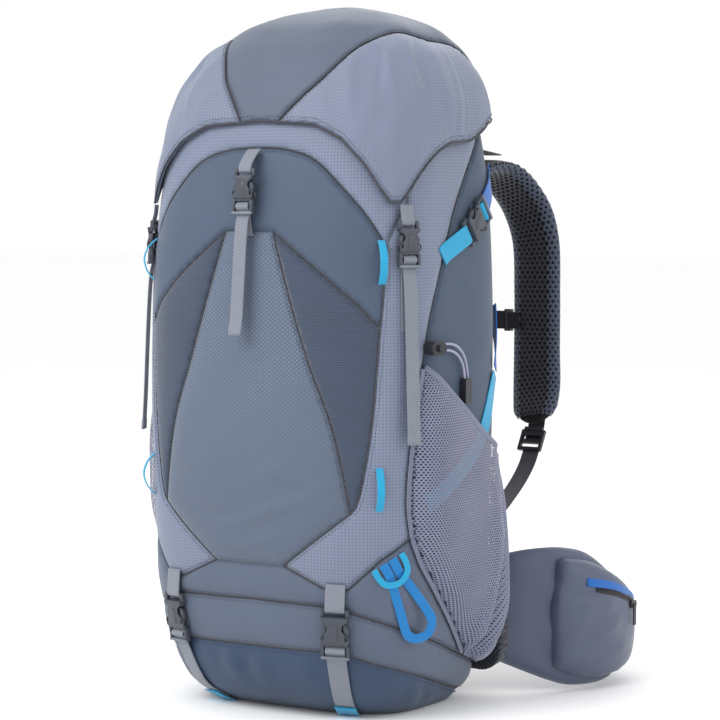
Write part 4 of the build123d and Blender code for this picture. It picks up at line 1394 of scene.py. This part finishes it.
# %% [markdown]
# ## Shoulder straps
# Each strap is die-cut foam, covered on the wearer's side by a knitted net with open hexagonal cells that wraps round
# the edges, and by plain cloth on the outside. The net is modelled cell by cell, with walls down to the foam.

# %% Shoulder straps
STRAP = [(44, 127, 482, 50), (46, 160, 517, 54), (52, 205, 545, 60), (62, 252, 545, 62), (76, 288, 512, 58),
         (86, 300, 470, 55), (88, 301, 410, 54), (88, 301, 350, 54), (93, 292, 305, 54), (101, 272, 270, 44)]
spine = curve(*STRAP, gap=3.0)
STEP = np.concatenate([[0], np.cumsum(np.linalg.norm(np.diff(spine[:, :3], axis=0), axis=1))])
runs = np.gradient(spine[:, :3], axis=0)
runs /= np.linalg.norm(runs, axis=1, keepdims=True)
wide = np.array([1.0, 0, 0]) - runs * runs[:, :1]
wide /= np.linalg.norm(wide, axis=1, keepdims=True)
faces_in = np.cross(runs, wide)
middle_of_loop = np.array([70.0, 205, 400])
faces_in *= np.sign(((middle_of_loop - spine[:, :3]) * faces_in).sum(1))[:, None]
turn = np.radians(np.linspace(-180, 180, 721))
shape = np.c_[np.sign(np.sin(turn)) * np.abs(np.sin(turn)) ** 0.62 * 27,
              np.sign(np.cos(turn)) * np.abs(np.cos(turn)) ** 0.8 * 7]
round_ = np.concatenate([[0], np.cumsum(np.linalg.norm(np.diff(shape, axis=0), axis=1))])
GIRTH = round_[-1]


def strap_place(flat, extra):
    """Points of the strap: flat is the distance round the section from the middle of the wearer's side, and along."""
    v, s = flat[:, 0], np.clip(flat[:, 1], 0, STEP[-1])
    a = np.interp((v + GIRTH / 2) % GIRTH, round_, turn)
    base = np.stack([np.interp(s, STEP, spine[:, i]) for i in range(4)], axis=1)
    w, o = (np.stack([np.interp(s, STEP, m[:, i]) for i in range(3)], axis=1) for m in (wide, faces_in))
    tip = np.sqrt(np.clip(1 - np.clip((s - STEP[-1] + 20) / 20, 0, 1) ** 2, 0.02, 1))
    half, deep = base[:, 3] / 2 * tip, 7.0 * (0.35 + 0.65 * tip)
    x = np.sign(np.sin(a)) * np.abs(np.sin(a)) ** 0.62
    y = np.sign(np.cos(a)) * np.abs(np.cos(a)) ** 0.8
    p = base[:, :3] + w * (x * (half + extra * np.abs(x)))[:, None] + o * (y * (deep + extra * np.abs(y)))[:, None]
    n = w * x[:, None] / 27 + o * y[:, None] / 7
    return p, n / np.linalg.norm(n, axis=1, keepdims=True)


columns = np.linspace(-GIRTH / 2, GIRTH / 2, 41)[:-1]
rows = np.arange(0, STEP[-1], 4.0)
rows = np.append(rows, STEP[-1])
flat = np.array([(v, s) for s in rows for v in columns])
p, n = strap_place(flat, -0.6 - 0.8 * np.exp(-((np.abs(flat[:, 0]) - 27 - 3.5) / 1.5) ** 2))
k = len(columns)
quads = [(i * k + j, i * k + (j + 1) % k, (i + 1) * k + (j + 1) % k, (i + 1) * k + j)
         for i in range(len(rows) - 1) for j in range(k)]
quads += [tuple(range(k))[::-1], tuple(range((len(rows) - 1) * k, len(rows) * k))]
foam = mesh_object("strap_foam_left", p, quads, flat)
outward(foam, n, quads[:-2])
finish_piece(foam, FOAM, "pack", ["shoulder_strap_left"])
foam.data.materials.append(STRAP_BACK)
for face in foam.data.polygons:
    face.material_index = int(abs(flat[face.vertices[0]][0]) > GIRTH * 0.27)
twin = other_side(foam, "strap_foam_right", "pack", ["shoulder_strap_right"])
twin.data.materials.append(STRAP_BACK)
for name, edge, material in (("net", False, NET_DARK), ("net_edge", True, NET_EDGE)):
    reach = GIRTH * 0.265
    cell = np.array([(-reach, 4), (reach, 4), (reach, STEP[-1] - 5), (-reach, STEP[-1] - 5)], float)
    cells, spokes = honeycomb(cell, 6.0, squeeze=1.0)
    split = 17.5
    cells = cells[(np.abs(cells[:, 0]) > split) == edge]
    piece = net_mesh(f"strap_{name}_left", cells, spokes, 0.55 if edge else 0.64,
                     lambda f, e: strap_place(f, e + 1.1), depth=1.5)
    finish_piece(piece, material, "pack")
    other_side(piece, f"strap_{name}_right", "pack", ())
print("strap length", round(float(STEP[-1])), "mm, net faces", len(piece.data.polygons))

# %% [markdown]
# ## Harness webbing
# A load lifter pulls each strap to the top of the frame. Below, webbing runs from the ladder lock at the strap's tip
# to the foot of the bag. The sternum strap joins the two shoulder straps.

# %% Harness webbing
Y = np.array((0.0, 1.0, 0.0))
band_pair("load_lifter", [(66, 119, 571), (66, 150, 569), (66, 200, 565), (66, 243, 560.5)],
          [unit((0, 0.1, 1))] * 4, 20, WEB_BLACK, "pack", "webbing_grey", ["harness_webbing"])
band_pair("lower_webbing",
          [(106, 258, 243), (106, 246, 226), (106, 222, 206), (106, 180, 181), (106, 150, 169), (106, 119, 160)],
          [unit((0, *v)) for v in ((0.7, -0.7), (0.6, -0.8), (0.55, -0.85), (0.4, -0.9), (0.3, -0.95), (0.25, -1))],
          20, WEB_LOW, "pack", "webbing_grey", thick=1.5, gap=4)
band_pair("lock_webbing", [(104, 262, 249), (103, 272, 262), (100, 283, 281), (97, 298, 302), (94, 305.5, 325)],
          [unit((0, *v)) for v in ((0.9, -0.5), (0.9, -0.4), (0.9, -0.4), (0.95, -0.3), (1, 0))], 20, WEB_BLACK,
          "pack", "webbing_grey", hem=8)
c = chest(380)
band("sternum_web_left", [(27, 301.5, 380), (34, 301, 380), (42, 301, 380), (50, 301, 380)], [Y] * 4, 20, WEB_BLACK,
     "sternum_strap", "webbing_grey", ["sternum_webbing"])
route, looks = lock_run(c)
ends = np.array([(-47, 301, 380), (-20, 301, 380)]) * MM
route += [np.array(q, float) for q in ((-20, 300.4, 380), (-34, 301, 380), (-50, 301, 380))]
band("sternum_web_right", route, looks + [Y] * 3, 20, WEB_BLACK, ("sternum_strap", "sternum_clip", *ends),
     "webbing_grey")
handle = np.radians(np.linspace(4, 176, 15))
band("haul_band", [(34.8 * cos(a), 119.5 + 40 * sin(a), 541 + 2 * sin(a)) for a in handle],
     [unit((cos(a) / 35, sin(a) / 40, 0)) for a in handle], 18, WEB_LOW, "pack", "webbing_grey", ["haul_loop"],
     thick=2.2)

# %% [markdown]
# ## Hip belt
# The belt is an oval that wraps the wearer's hips. Each wing is cut from foam, laid round the oval and sewn along its
# edge; a zip pocket stands on its outside. The lumbar pad fills the hollow between the oval and the bag's flat back.

# %% Belt geometry
BELT_X, BELT_Y, BELT_MIDDLE = 204, 134, 240  # the oval's half-width, half-depth and the Y of its middle
OVAL = np.radians(np.linspace(-60, 90, 601))
oval = np.c_[BELT_X * np.cos(OVAL), BELT_MIDDLE + BELT_Y * np.sin(OVAL)]
OVAL_S = np.concatenate([[0], np.cumsum(np.linalg.norm(np.diff(oval, axis=0), axis=1))])


def along_oval(y):
    """Distance round the belt's oval at a Y."""
    return float(np.interp(y, oval[:, 1], OVAL_S))


def belt_place(flat, lift):
    """Points on the belt's oval from distance round it and height, lifted off it."""
    a = np.interp(flat[:, 0], OVAL_S, OVAL)
    n = np.c_[np.cos(a) / BELT_X, np.sin(a) / BELT_Y, np.zeros(len(a))]
    n /= np.linalg.norm(n, axis=1, keepdims=True)
    on = np.c_[BELT_X * np.cos(a), BELT_MIDDLE + BELT_Y * np.sin(a), flat[:, 1]]
    return on + n * np.broadcast_to(lift, len(a))[:, None]


def on_oval(*points):
    """Drawing points on the belt from pairs of Y and height."""
    return [(along_oval(y), z) for y, z in points]


wing = outline(curve(*on_oval((130, 40), (150, 24), (170, 12), (188, 5.5), (212, 4), (235, 4.5), (268, 8.5), (300, 17),
                              (326, 31), (337.5, 44))),
               curve(*on_oval((337.5, 46), (338, 62), (337.5, 80), (328, 87), (300, 93), (280, 101), (262, 110),
                              (240, 124), (222, 135), (206, 144), (190, 149), (172, 151), (150, 148), (130, 138))),
               straight(*on_oval((130, 138), (130, 40))))


def wing_folds(flat, d):
    """The cloth strains from the hinge towards the pocket."""
    s, z = flat[:, 0], flat[:, 1]
    near = np.exp(-(((s - along_oval(178)) / 26) ** 2))
    return (1.6 * np.sin((z + 0.5 * s) / 7.5) * near + 0.8 * ripple(flat, 24.0, 6.0)) * np.clip(d / 9, 0, 1)


def full(d, height, soft):
    """A pad's swelling: steep at the seam and flat inside."""
    return height * np.sqrt(1 - np.exp(-d / soft))


for side, sign in SIDES:
    m = (sign, 1, 1)
    piece = pad(f"belt_wing_{side}", wing, lambda f, d: belt_place(f, 0.7 + full(d, 8.0, 9) + wing_folds(f, d)) * m,
                lambda f, d: belt_place(f, -0.7 - full(d, 7.4, 7)) * m, gap=5.0)
    bend = np.array([(0.137, 0.142, 0.08), (0.168, 0.172, 0.08)]) * m
    finish_piece(piece, BELT_CLOTH, ("pack", f"belt_{side}", *bend), [f"hip_wing_{side}"])
print("wing", len(piece.data.polygons))

# %% Hip pockets, zips and belt webbing
pouch = outline(*(curve(*on_oval(*edge)) for edge in (
    ((176, 24), (196, 15), (235, 12), (275, 19), (304, 33)), ((307, 38), (311, 58), (305, 76)),
    ((302, 80), (282, 95), (256, 110), (228, 125), (204, 136), (182, 141)), ((176, 138), (171, 84), (173, 28)))))
# creases in the pouch: from and to as Y on the oval and height, then width and how high
POUCH_FOLDS = [(174, 50, 206, 96, 6, 1.6), (174, 112, 214, 98, 5, -1.2), (196, 60, 240, 72, 7, 1.3),
               (190, 96, 232, 86, 6, 1.2), (262, 40, 286, 66, 6, -1.2), (205, 34, 250, 44, 6, 1.0)]


def pouch_lift(f, d):
    """How far the pocket's cloth stands off the belt."""
    crown = full(d, 15.6, 11)
    folds = [(along_oval(y0), z0, along_oval(y1), z1, wide, high) for y0, z0, y1, z1, wide, high in POUCH_FOLDS]
    crease = 1.5 * creases(f, folds)
    return 8.6 + crown + (crease + 0.7 * ripple(f, 22, 9.0)) * np.clip(d / 8, 0, 1)


ZIP_COIL = moulded("zip_coil", (30, 32, 38), rough=0.4)
zip_line = curve(*on_oval((205, 108), (232, 99), (262, 86), (284, 73)))
for side, sign in SIDES:
    m = np.array((sign, 1, 1))
    piece = pad(f"belt_pocket_{side}", pouch, lambda f, d: belt_place(f, pouch_lift(f, d)) * m,
                lambda f, d: belt_place(f, 8.2) * m, gap=4.0)
    finish_piece(piece, BELT_CLOTH, f"belt_{side}", [f"hip_pocket_{side}"])
    d, _ = to_seam(zip_line, pouch)
    on = belt_place(zip_line, pouch_lift(zip_line, d) + 0.6) * m
    look = [unit(q - (0, BELT_MIDDLE, q[2])) for q in on]
    band(f"belt_zip_{side}", on[::2], look[::2], 7, WEB_BLACK, f"belt_{side}", "belt_fabric", thick=1.0)
    band(f"belt_zip_coil_{side}", (on + 0.6 * np.array(look))[::2], look[::2], 2.2, ZIP_COIL, f"belt_{side}",
         "plastic_dark", thick=1.4)
    flap = curve(*on_oval((196, 116), (224, 109), (252, 97), (276, 84)))
    d, _ = to_seam(flap, pouch)
    on = belt_place(flap, pouch_lift(flap, d) + 0.9) * m
    band(f"belt_garage_{side}", on[::2], [unit(q - (0, BELT_MIDDLE, q[2] - 60)) for q in on[::2]], 9, WEB_BLUE,
         f"belt_{side}", "webbing_blue", thick=1.2)
    start = on_oval((316, 62))[0][0]
    stop = along_oval(371)
    route = belt_place(np.array([(s, 62.0) for s in np.linspace(start, stop, 8)]), 9.0)
    edge = 50 if sign > 0 else 44
    route[:, 0] = np.maximum(route[:, 0], edge)
    look = [unit((q[0] / BELT_X**2, (q[1] - BELT_MIDDLE) / BELT_Y**2, 0)) * m for q in route]
    if sign > 0:
        band("belt_webbing_left", route * m, look, 38, WEB_LOW, "belt_left", "webbing_grey", ["hip_webbing_left"],
             thick=1.6)
    else:
        lock, faces_ = lock_run(WAIST)
        ends = np.array([(-46, 374, 62), (-24, 374, 62)]) * MM
        tail = [np.array(q, float) for q in ((-20, 373.2, 62), (-34, 373.8, 62))]
        band("belt_webbing_right", lock + tail + list((route * m)[::-1][0:7]), faces_ + [Y, Y] + look[::-1][0:7],
             38, WEB_LOW, ("belt_right", "hip_clip", *ends), "webbing_grey", ["hip_webbing_right"], thick=1.6)
print("belt done")

# %% [markdown]
# ## Back and lumbar pads
# Two foam ridges carry the load on the back with an air channel between them, and the lumbar pad sits over the belt's
# root. All are covered in spacer mesh.

# %% Back pads
def back_face(x, z, y):
    """Points on the upright plane of the back."""
    return np.c_[x, np.broadcast_to(y, len(x)), z]


def rounded(x0, x1, z0, z1, r=18):
    """A rectangle with round corners, as an outline."""
    line = []
    for cx, cz, a0 in ((x1 - r, z0 + r, -90), (x1 - r, z1 - r, 0), (x0 + r, z1 - r, 90), (x0 + r, z0 + r, 180)):
        line += [(cx + r * cos(radians(a)), cz + r * sin(radians(a))) for a in range(a0, a0 + 91, 15)]
    return outline(straight(*line, line[0], gap=5))


def ridge_front(f, d):
    """How far back a ridge's face stands, with a sewn groove down its middle."""
    groove = 2.2 * np.exp(-((np.abs(f[:, 0]) - 66) / 2.5) ** 2)
    return 119.5 + full(d, 14.5, 9) - groove * np.clip(d / 8, 0, 1)


for side, sign in SIDES:
    ridge = rounded(28, 103, 180, 519, 26)
    piece = pad(f"back_ridge_{side}", ridge * (sign, 1),
                lambda f, d: back_face(f[:, 0], f[:, 1], ridge_front(f, d)),
                lambda f, d: back_face(f[:, 0], f[:, 1], 118.0), gap=6.0)
    finish_piece(piece, SPACER, "pack", ["back_pad"] if sign > 0 else ())
channel = rounded(-27, 27, 186, 512, 10)
piece = pad("back_channel", channel, lambda f, d: back_face(f[:, 0], f[:, 1], 120.6 + full(d, 1.8, 4)),
            lambda f, d: back_face(f[:, 0], f[:, 1], 118.2), gap=6.0)
finish_piece(piece, SPACER, "pack")


def lumbar_back(f, d):
    """The lumbar cushion's face, which follows the belt's oval."""
    x = f[:, 0]
    hollow = 240 - 126 * np.sqrt(1 - (x / 196) ** 2)
    y = np.maximum(hollow, 121.5) - 2.0
    y = 118 + (y - 118) * np.sqrt(1 - np.exp(-d / 6))
    y += 1.8 * np.exp(-(((f[:, 1] - 88) / 34) ** 2)) * np.clip(d / 10, 0, 1)
    return back_face(x, f[:, 1], y)


piece = pad("lumbar_cushion", rounded(-149, 149, 26, 151, 22), lumbar_back,
            lambda f, d: back_face(f[:, 0], f[:, 1], np.interp(np.abs(f[:, 0]), [0, 110, 150], [117.2, 117, 112])),
            gap=5.0)
finish_piece(piece, SPACER, "pack", ["lumbar_pad"])
print("pads done")

# %% [markdown]
# ## Under the lid
# A gathered collar closes the bag's mouth, a floor divides the sleeping-bag compartment, and the lid has its own
# floor and, at its back, a zip.

# %% Collar, divider and the lid's underside
def ringed(name, rings, material, body, replaces=(), wave=0.0, count=240, close=False):
    """A cloth wall through rings of (height, half-width, front, back), gathered by a wave."""
    angle = np.linspace(-pi, pi, count + 1)[:-1]
    points, uv, faces = [], [], []
    for k_, (z, half, front, back_) in enumerate(rings):
        x, y = ring(angle, half, front, back_)
        mid = (front + back_) / 2
        gather = 1 + wave * (k_ / max(len(rings) - 1, 1)) * np.sin(angle * 34 + 2 * np.sin(angle * 5)) / 100
        points += list(np.c_[x * gather, mid + (y - mid) * gather, np.full(count, z)])
        uv += [(a * 140, z) for a in angle]
    for i in range(len(rings) - 1):
        for j in range(count):
            a, b = i * count + j, i * count + (j + 1) % count
            faces.append((a, b, b + count, a + count))
    if close:
        faces.append(tuple(range((len(rings) - 1) * count, len(rings) * count)))
    piece = mesh_object(name, points, faces, uv)
    apply_modifier(piece, "SOLIDIFY", thickness=0.9 * MM, offset=-1)
    return finish_piece(piece, material, body, replaces)


collar = [(556, 146, -105, 118.5), (565, 145, -102.5, 117.5), (575, 141, -97, 115), (584, 137.5, -91.5, 111.5),
          (592, 133.5, -86.5, 108), (599, 129, -82, 105), (604, 125.5, -79, 102.5), (606.5, 124, -78, 101.5)]
ringed("collar_cloth", collar, LINING, "pack", ["collar"], wave=1.5)
piece = pad("floor_cloth", rounded(-146, 146, -50, 95, 30),
            lambda f, d: np.c_[f, 134.6 - 1.5 * np.exp(-(f[:, 0] / 90) ** 2)],
            lambda f, d: np.c_[f, 133.4 - 1.5 * np.exp(-(f[:, 0] / 90) ** 2)], gap=9.0)
finish_piece(piece, LINING, "pack", ["compartment_divider"])
under = [(600, 149.5, -95.5, 127.5), (606, 146, -92, 124), (610, 138, -84, 116), (612, 100, -55, 90),
         (612.5, 50, -15, 50), (612.6, 8, 10, 20)]
ringed("lid_floor", under, LINING, "lid", close=True)
tape = []
for x in np.linspace(-101, 101, 27):
    half, front, back_ = station(617, LID)
    mid = front + WIDEST * (back_ - front)
    tape.append((x, mid + (back_ - mid) * (1 - abs(x / half) ** BACK_POWER) ** (1 / BACK_POWER), 617))
tape = np.array(tape)
band("lid_zip_tape", tape + (0, 3.2, 0), [Y] * len(tape), 9, WEB_BLACK, "lid", "panel_fabric", ["lid_zip"], thick=1.0)
band("lid_zip_coil", tape + (0, 4.0, 0), [Y] * len(tape), 2.4, ZIP_COIL, "lid", "plastic_dark", thick=1.5)
print("inside done")

# %% [markdown]
# ## The shaft keeper's cords
# Two strands of elastic cord leave the cord lock together, bend over under their own weight and end in one pull.

# %% Cords
CORD = thread_cloth("cord_sheath", (150, 154, 190), (196, 200, 226))
ROUTES = {
    "upper": [(165, -34, 370.5), (166.6, -20, 372.2), (168.6, -5, 369.5), (169.4, 6, 361), (169.6, 12.4, 349),
              (169.6, 14.6, 335.5)],
    "lower": [(165, -34, 365), (166.6, -21, 366), (168.4, -8, 363), (169.2, 1.4, 356), (169.6, 7, 346),
              (169.6, 8.8, 335.5)],
}
for which, route in ROUTES.items():
    curve_data = bpy.data.curves.new(f"keeper_strand_{which}", "CURVE")
    curve_data.dimensions = "3D"
    spline = curve_data.splines.new("NURBS")
    spline.points.add(len(route) - 1)
    for point, place in zip(spline.points, route):
        point.co = (*[c * MM for c in place], 1)
    spline.order_u = 3
    spline.use_endpoint_u = True
    curve_data.bevel_depth = 0.0013
    curve_data.bevel_resolution = 4
    curve_data.resolution_u = 16
    cord = bpy.data.objects.new(f"keeper_strand_{which}", curve_data)
    bpy.context.scene.collection.objects.link(cord)
    curve_data.materials.append(CORD)
    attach(cord, "pack")
    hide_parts(f"keeper_cord_{which}")
print("cords done")

# %% [markdown]
# ## Seams, painted seam shade and stitches
# Seams are what makes a pack look sewn. The lid's hem and the long seams carry a thin dark cord, painted shade laid in
# the seam, and beside each seam runs a row of stitches. A stitch is a tiny eight-faced grain, so thousands of them
# stay light.

# %% Painted seam shade and stitch rows
# dark thread: the stitches' own colour; on the cords in the seams the same material is painted seam shade
DARK_THREAD_AND_SEAM_SHADE = thread_cloth("dark_thread_and_seam_shade", (34, 42, 58), (52, 60, 78))


def seam_shade_cord(name, line, skin, lift, body, slot, width):
    """A thin dark cord laid in a seam, on both sides: painted shade in the seam."""
    p, n = skin(line[:, 0], line[:, 1])
    band_pair(f"{name}_piping", (p + n * lift)[::2], n[::2], width, DARK_THREAD_AND_SEAM_SHADE, body, slot, thick=width * 0.9,
              gap=2.5)


STITCHES = {}


def stitch(line, skin, lift, body, pitch=3.4, length=2.3, thick=0.38):
    """Adds a row of stitches along a drawn line to the body's stitches."""
    s = np.concatenate([[0], np.cumsum(np.linalg.norm(np.diff(line, axis=0), axis=1))])
    mids = np.arange(pitch, s[-1] - pitch / 2, pitch)
    ends = [np.c_[np.interp(mids + o, s, line[:, 0]), np.interp(mids + o, s, line[:, 1])]
            for o in (-length / 2, length / 2)]
    (a, n), (b, _) = (skin(e[:, 0], e[:, 1]) for e in ends)
    run = b - a
    run /= np.maximum(np.linalg.norm(run, axis=1, keepdims=True), 1e-9)
    side = np.cross(run, n)
    mid = (a + b) / 2 + n * lift
    a, b = a + n * (lift - 0.35), b + n * (lift - 0.35)
    grain = np.stack([a, b, mid + side * thick, mid + n * thick, mid - side * thick, mid - n * thick], axis=1)
    STITCHES.setdefault(body, []).append(grain.reshape(-1, 3))


def sew_all(body, name, material, mirrored=True):
    """Makes one piece of all the stitches that a body has been given."""
    points = np.vstack(STITCHES[body])
    if mirrored:
        points = np.vstack([points, points * (-1, 1, 1)])
    facets = [(0, 2, 3), (0, 3, 4), (0, 4, 5), (0, 5, 2), (1, 3, 2), (1, 4, 3), (1, 5, 4), (1, 2, 5)]
    faces = [tuple(i * 6 + k for k in f) for i in range(len(points) // 6) for f in facets]
    piece = mesh_object(name, points, faces, np.c_[points[:, 0], points[:, 2]])
    faces_outwards(piece)
    finish_piece(piece, material, body)
    print(name, len(points) // 6, "stitches")


for line, by in ((ARCH, 3.5), (GORE_FRONT, 3.5), (POINT_IN, 3.2), (POINT_OUT, 3.2), (GORE_BACK, -3.5),
                 (POCKET_EDGE, -3.2), (CENTRE_EDGE, -3.0), (RIB_TOP, -3.0), (RIB_TOP, 3.2), (SEAM_TWO, 3.0),
                 (SEAM_TWO, -3.0), (SEAM_THREE, 3.0), (SEAM_THREE, -3.4)):
    stitch(shifted(line, by), bag, 0.25, "pack")
side_hem = hem_line(1, 179, 220)
stitch(shifted(side_hem, 5.5), dome, 1.3, "lid")
for by in (3.2, -3.2):
    stitch(shifted(WING_SEAM, by), dome, 1.0, "lid")
sew_all("pack", "pack_stitches", DARK_THREAD_AND_SEAM_SHADE)
sew_all("lid", "lid_stitches", DARK_THREAD_AND_SEAM_SHADE)
# the dark cords in the lid's hem, the wing seams and the bag's seams are painted shade in the seams
seam_shade_cord("lid", hem_line(0, 146, 220), dome, 0.2, "lid", "lid_fabric", width=2.2)
seam_shade_cord("wing", WING_SEAM, dome, -0.3, "lid", "lid_fabric", width=1.3)
for name, line in (("arch", ARCH), ("gore_front", GORE_FRONT), ("gore_point", POINT_IN), ("gore_foot", POINT_OUT),
                   ("gore_back", GORE_BACK), ("centre", CENTRE_EDGE), ("rib_top", RIB_TOP), ("low_seam", SEAM_TWO),
                   ("base_seam", SEAM_THREE), ("pocket_front", POCKET_EDGE), ("pocket_foot", MESH_FRONT)):
    seam_shade_cord(name, line, bag, -1.7, "pack", "panel_fabric", width=0.9)
print("seams done")

# %% [markdown]
# ## Sizes and finish

# %% Sizes and finish
low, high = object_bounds()
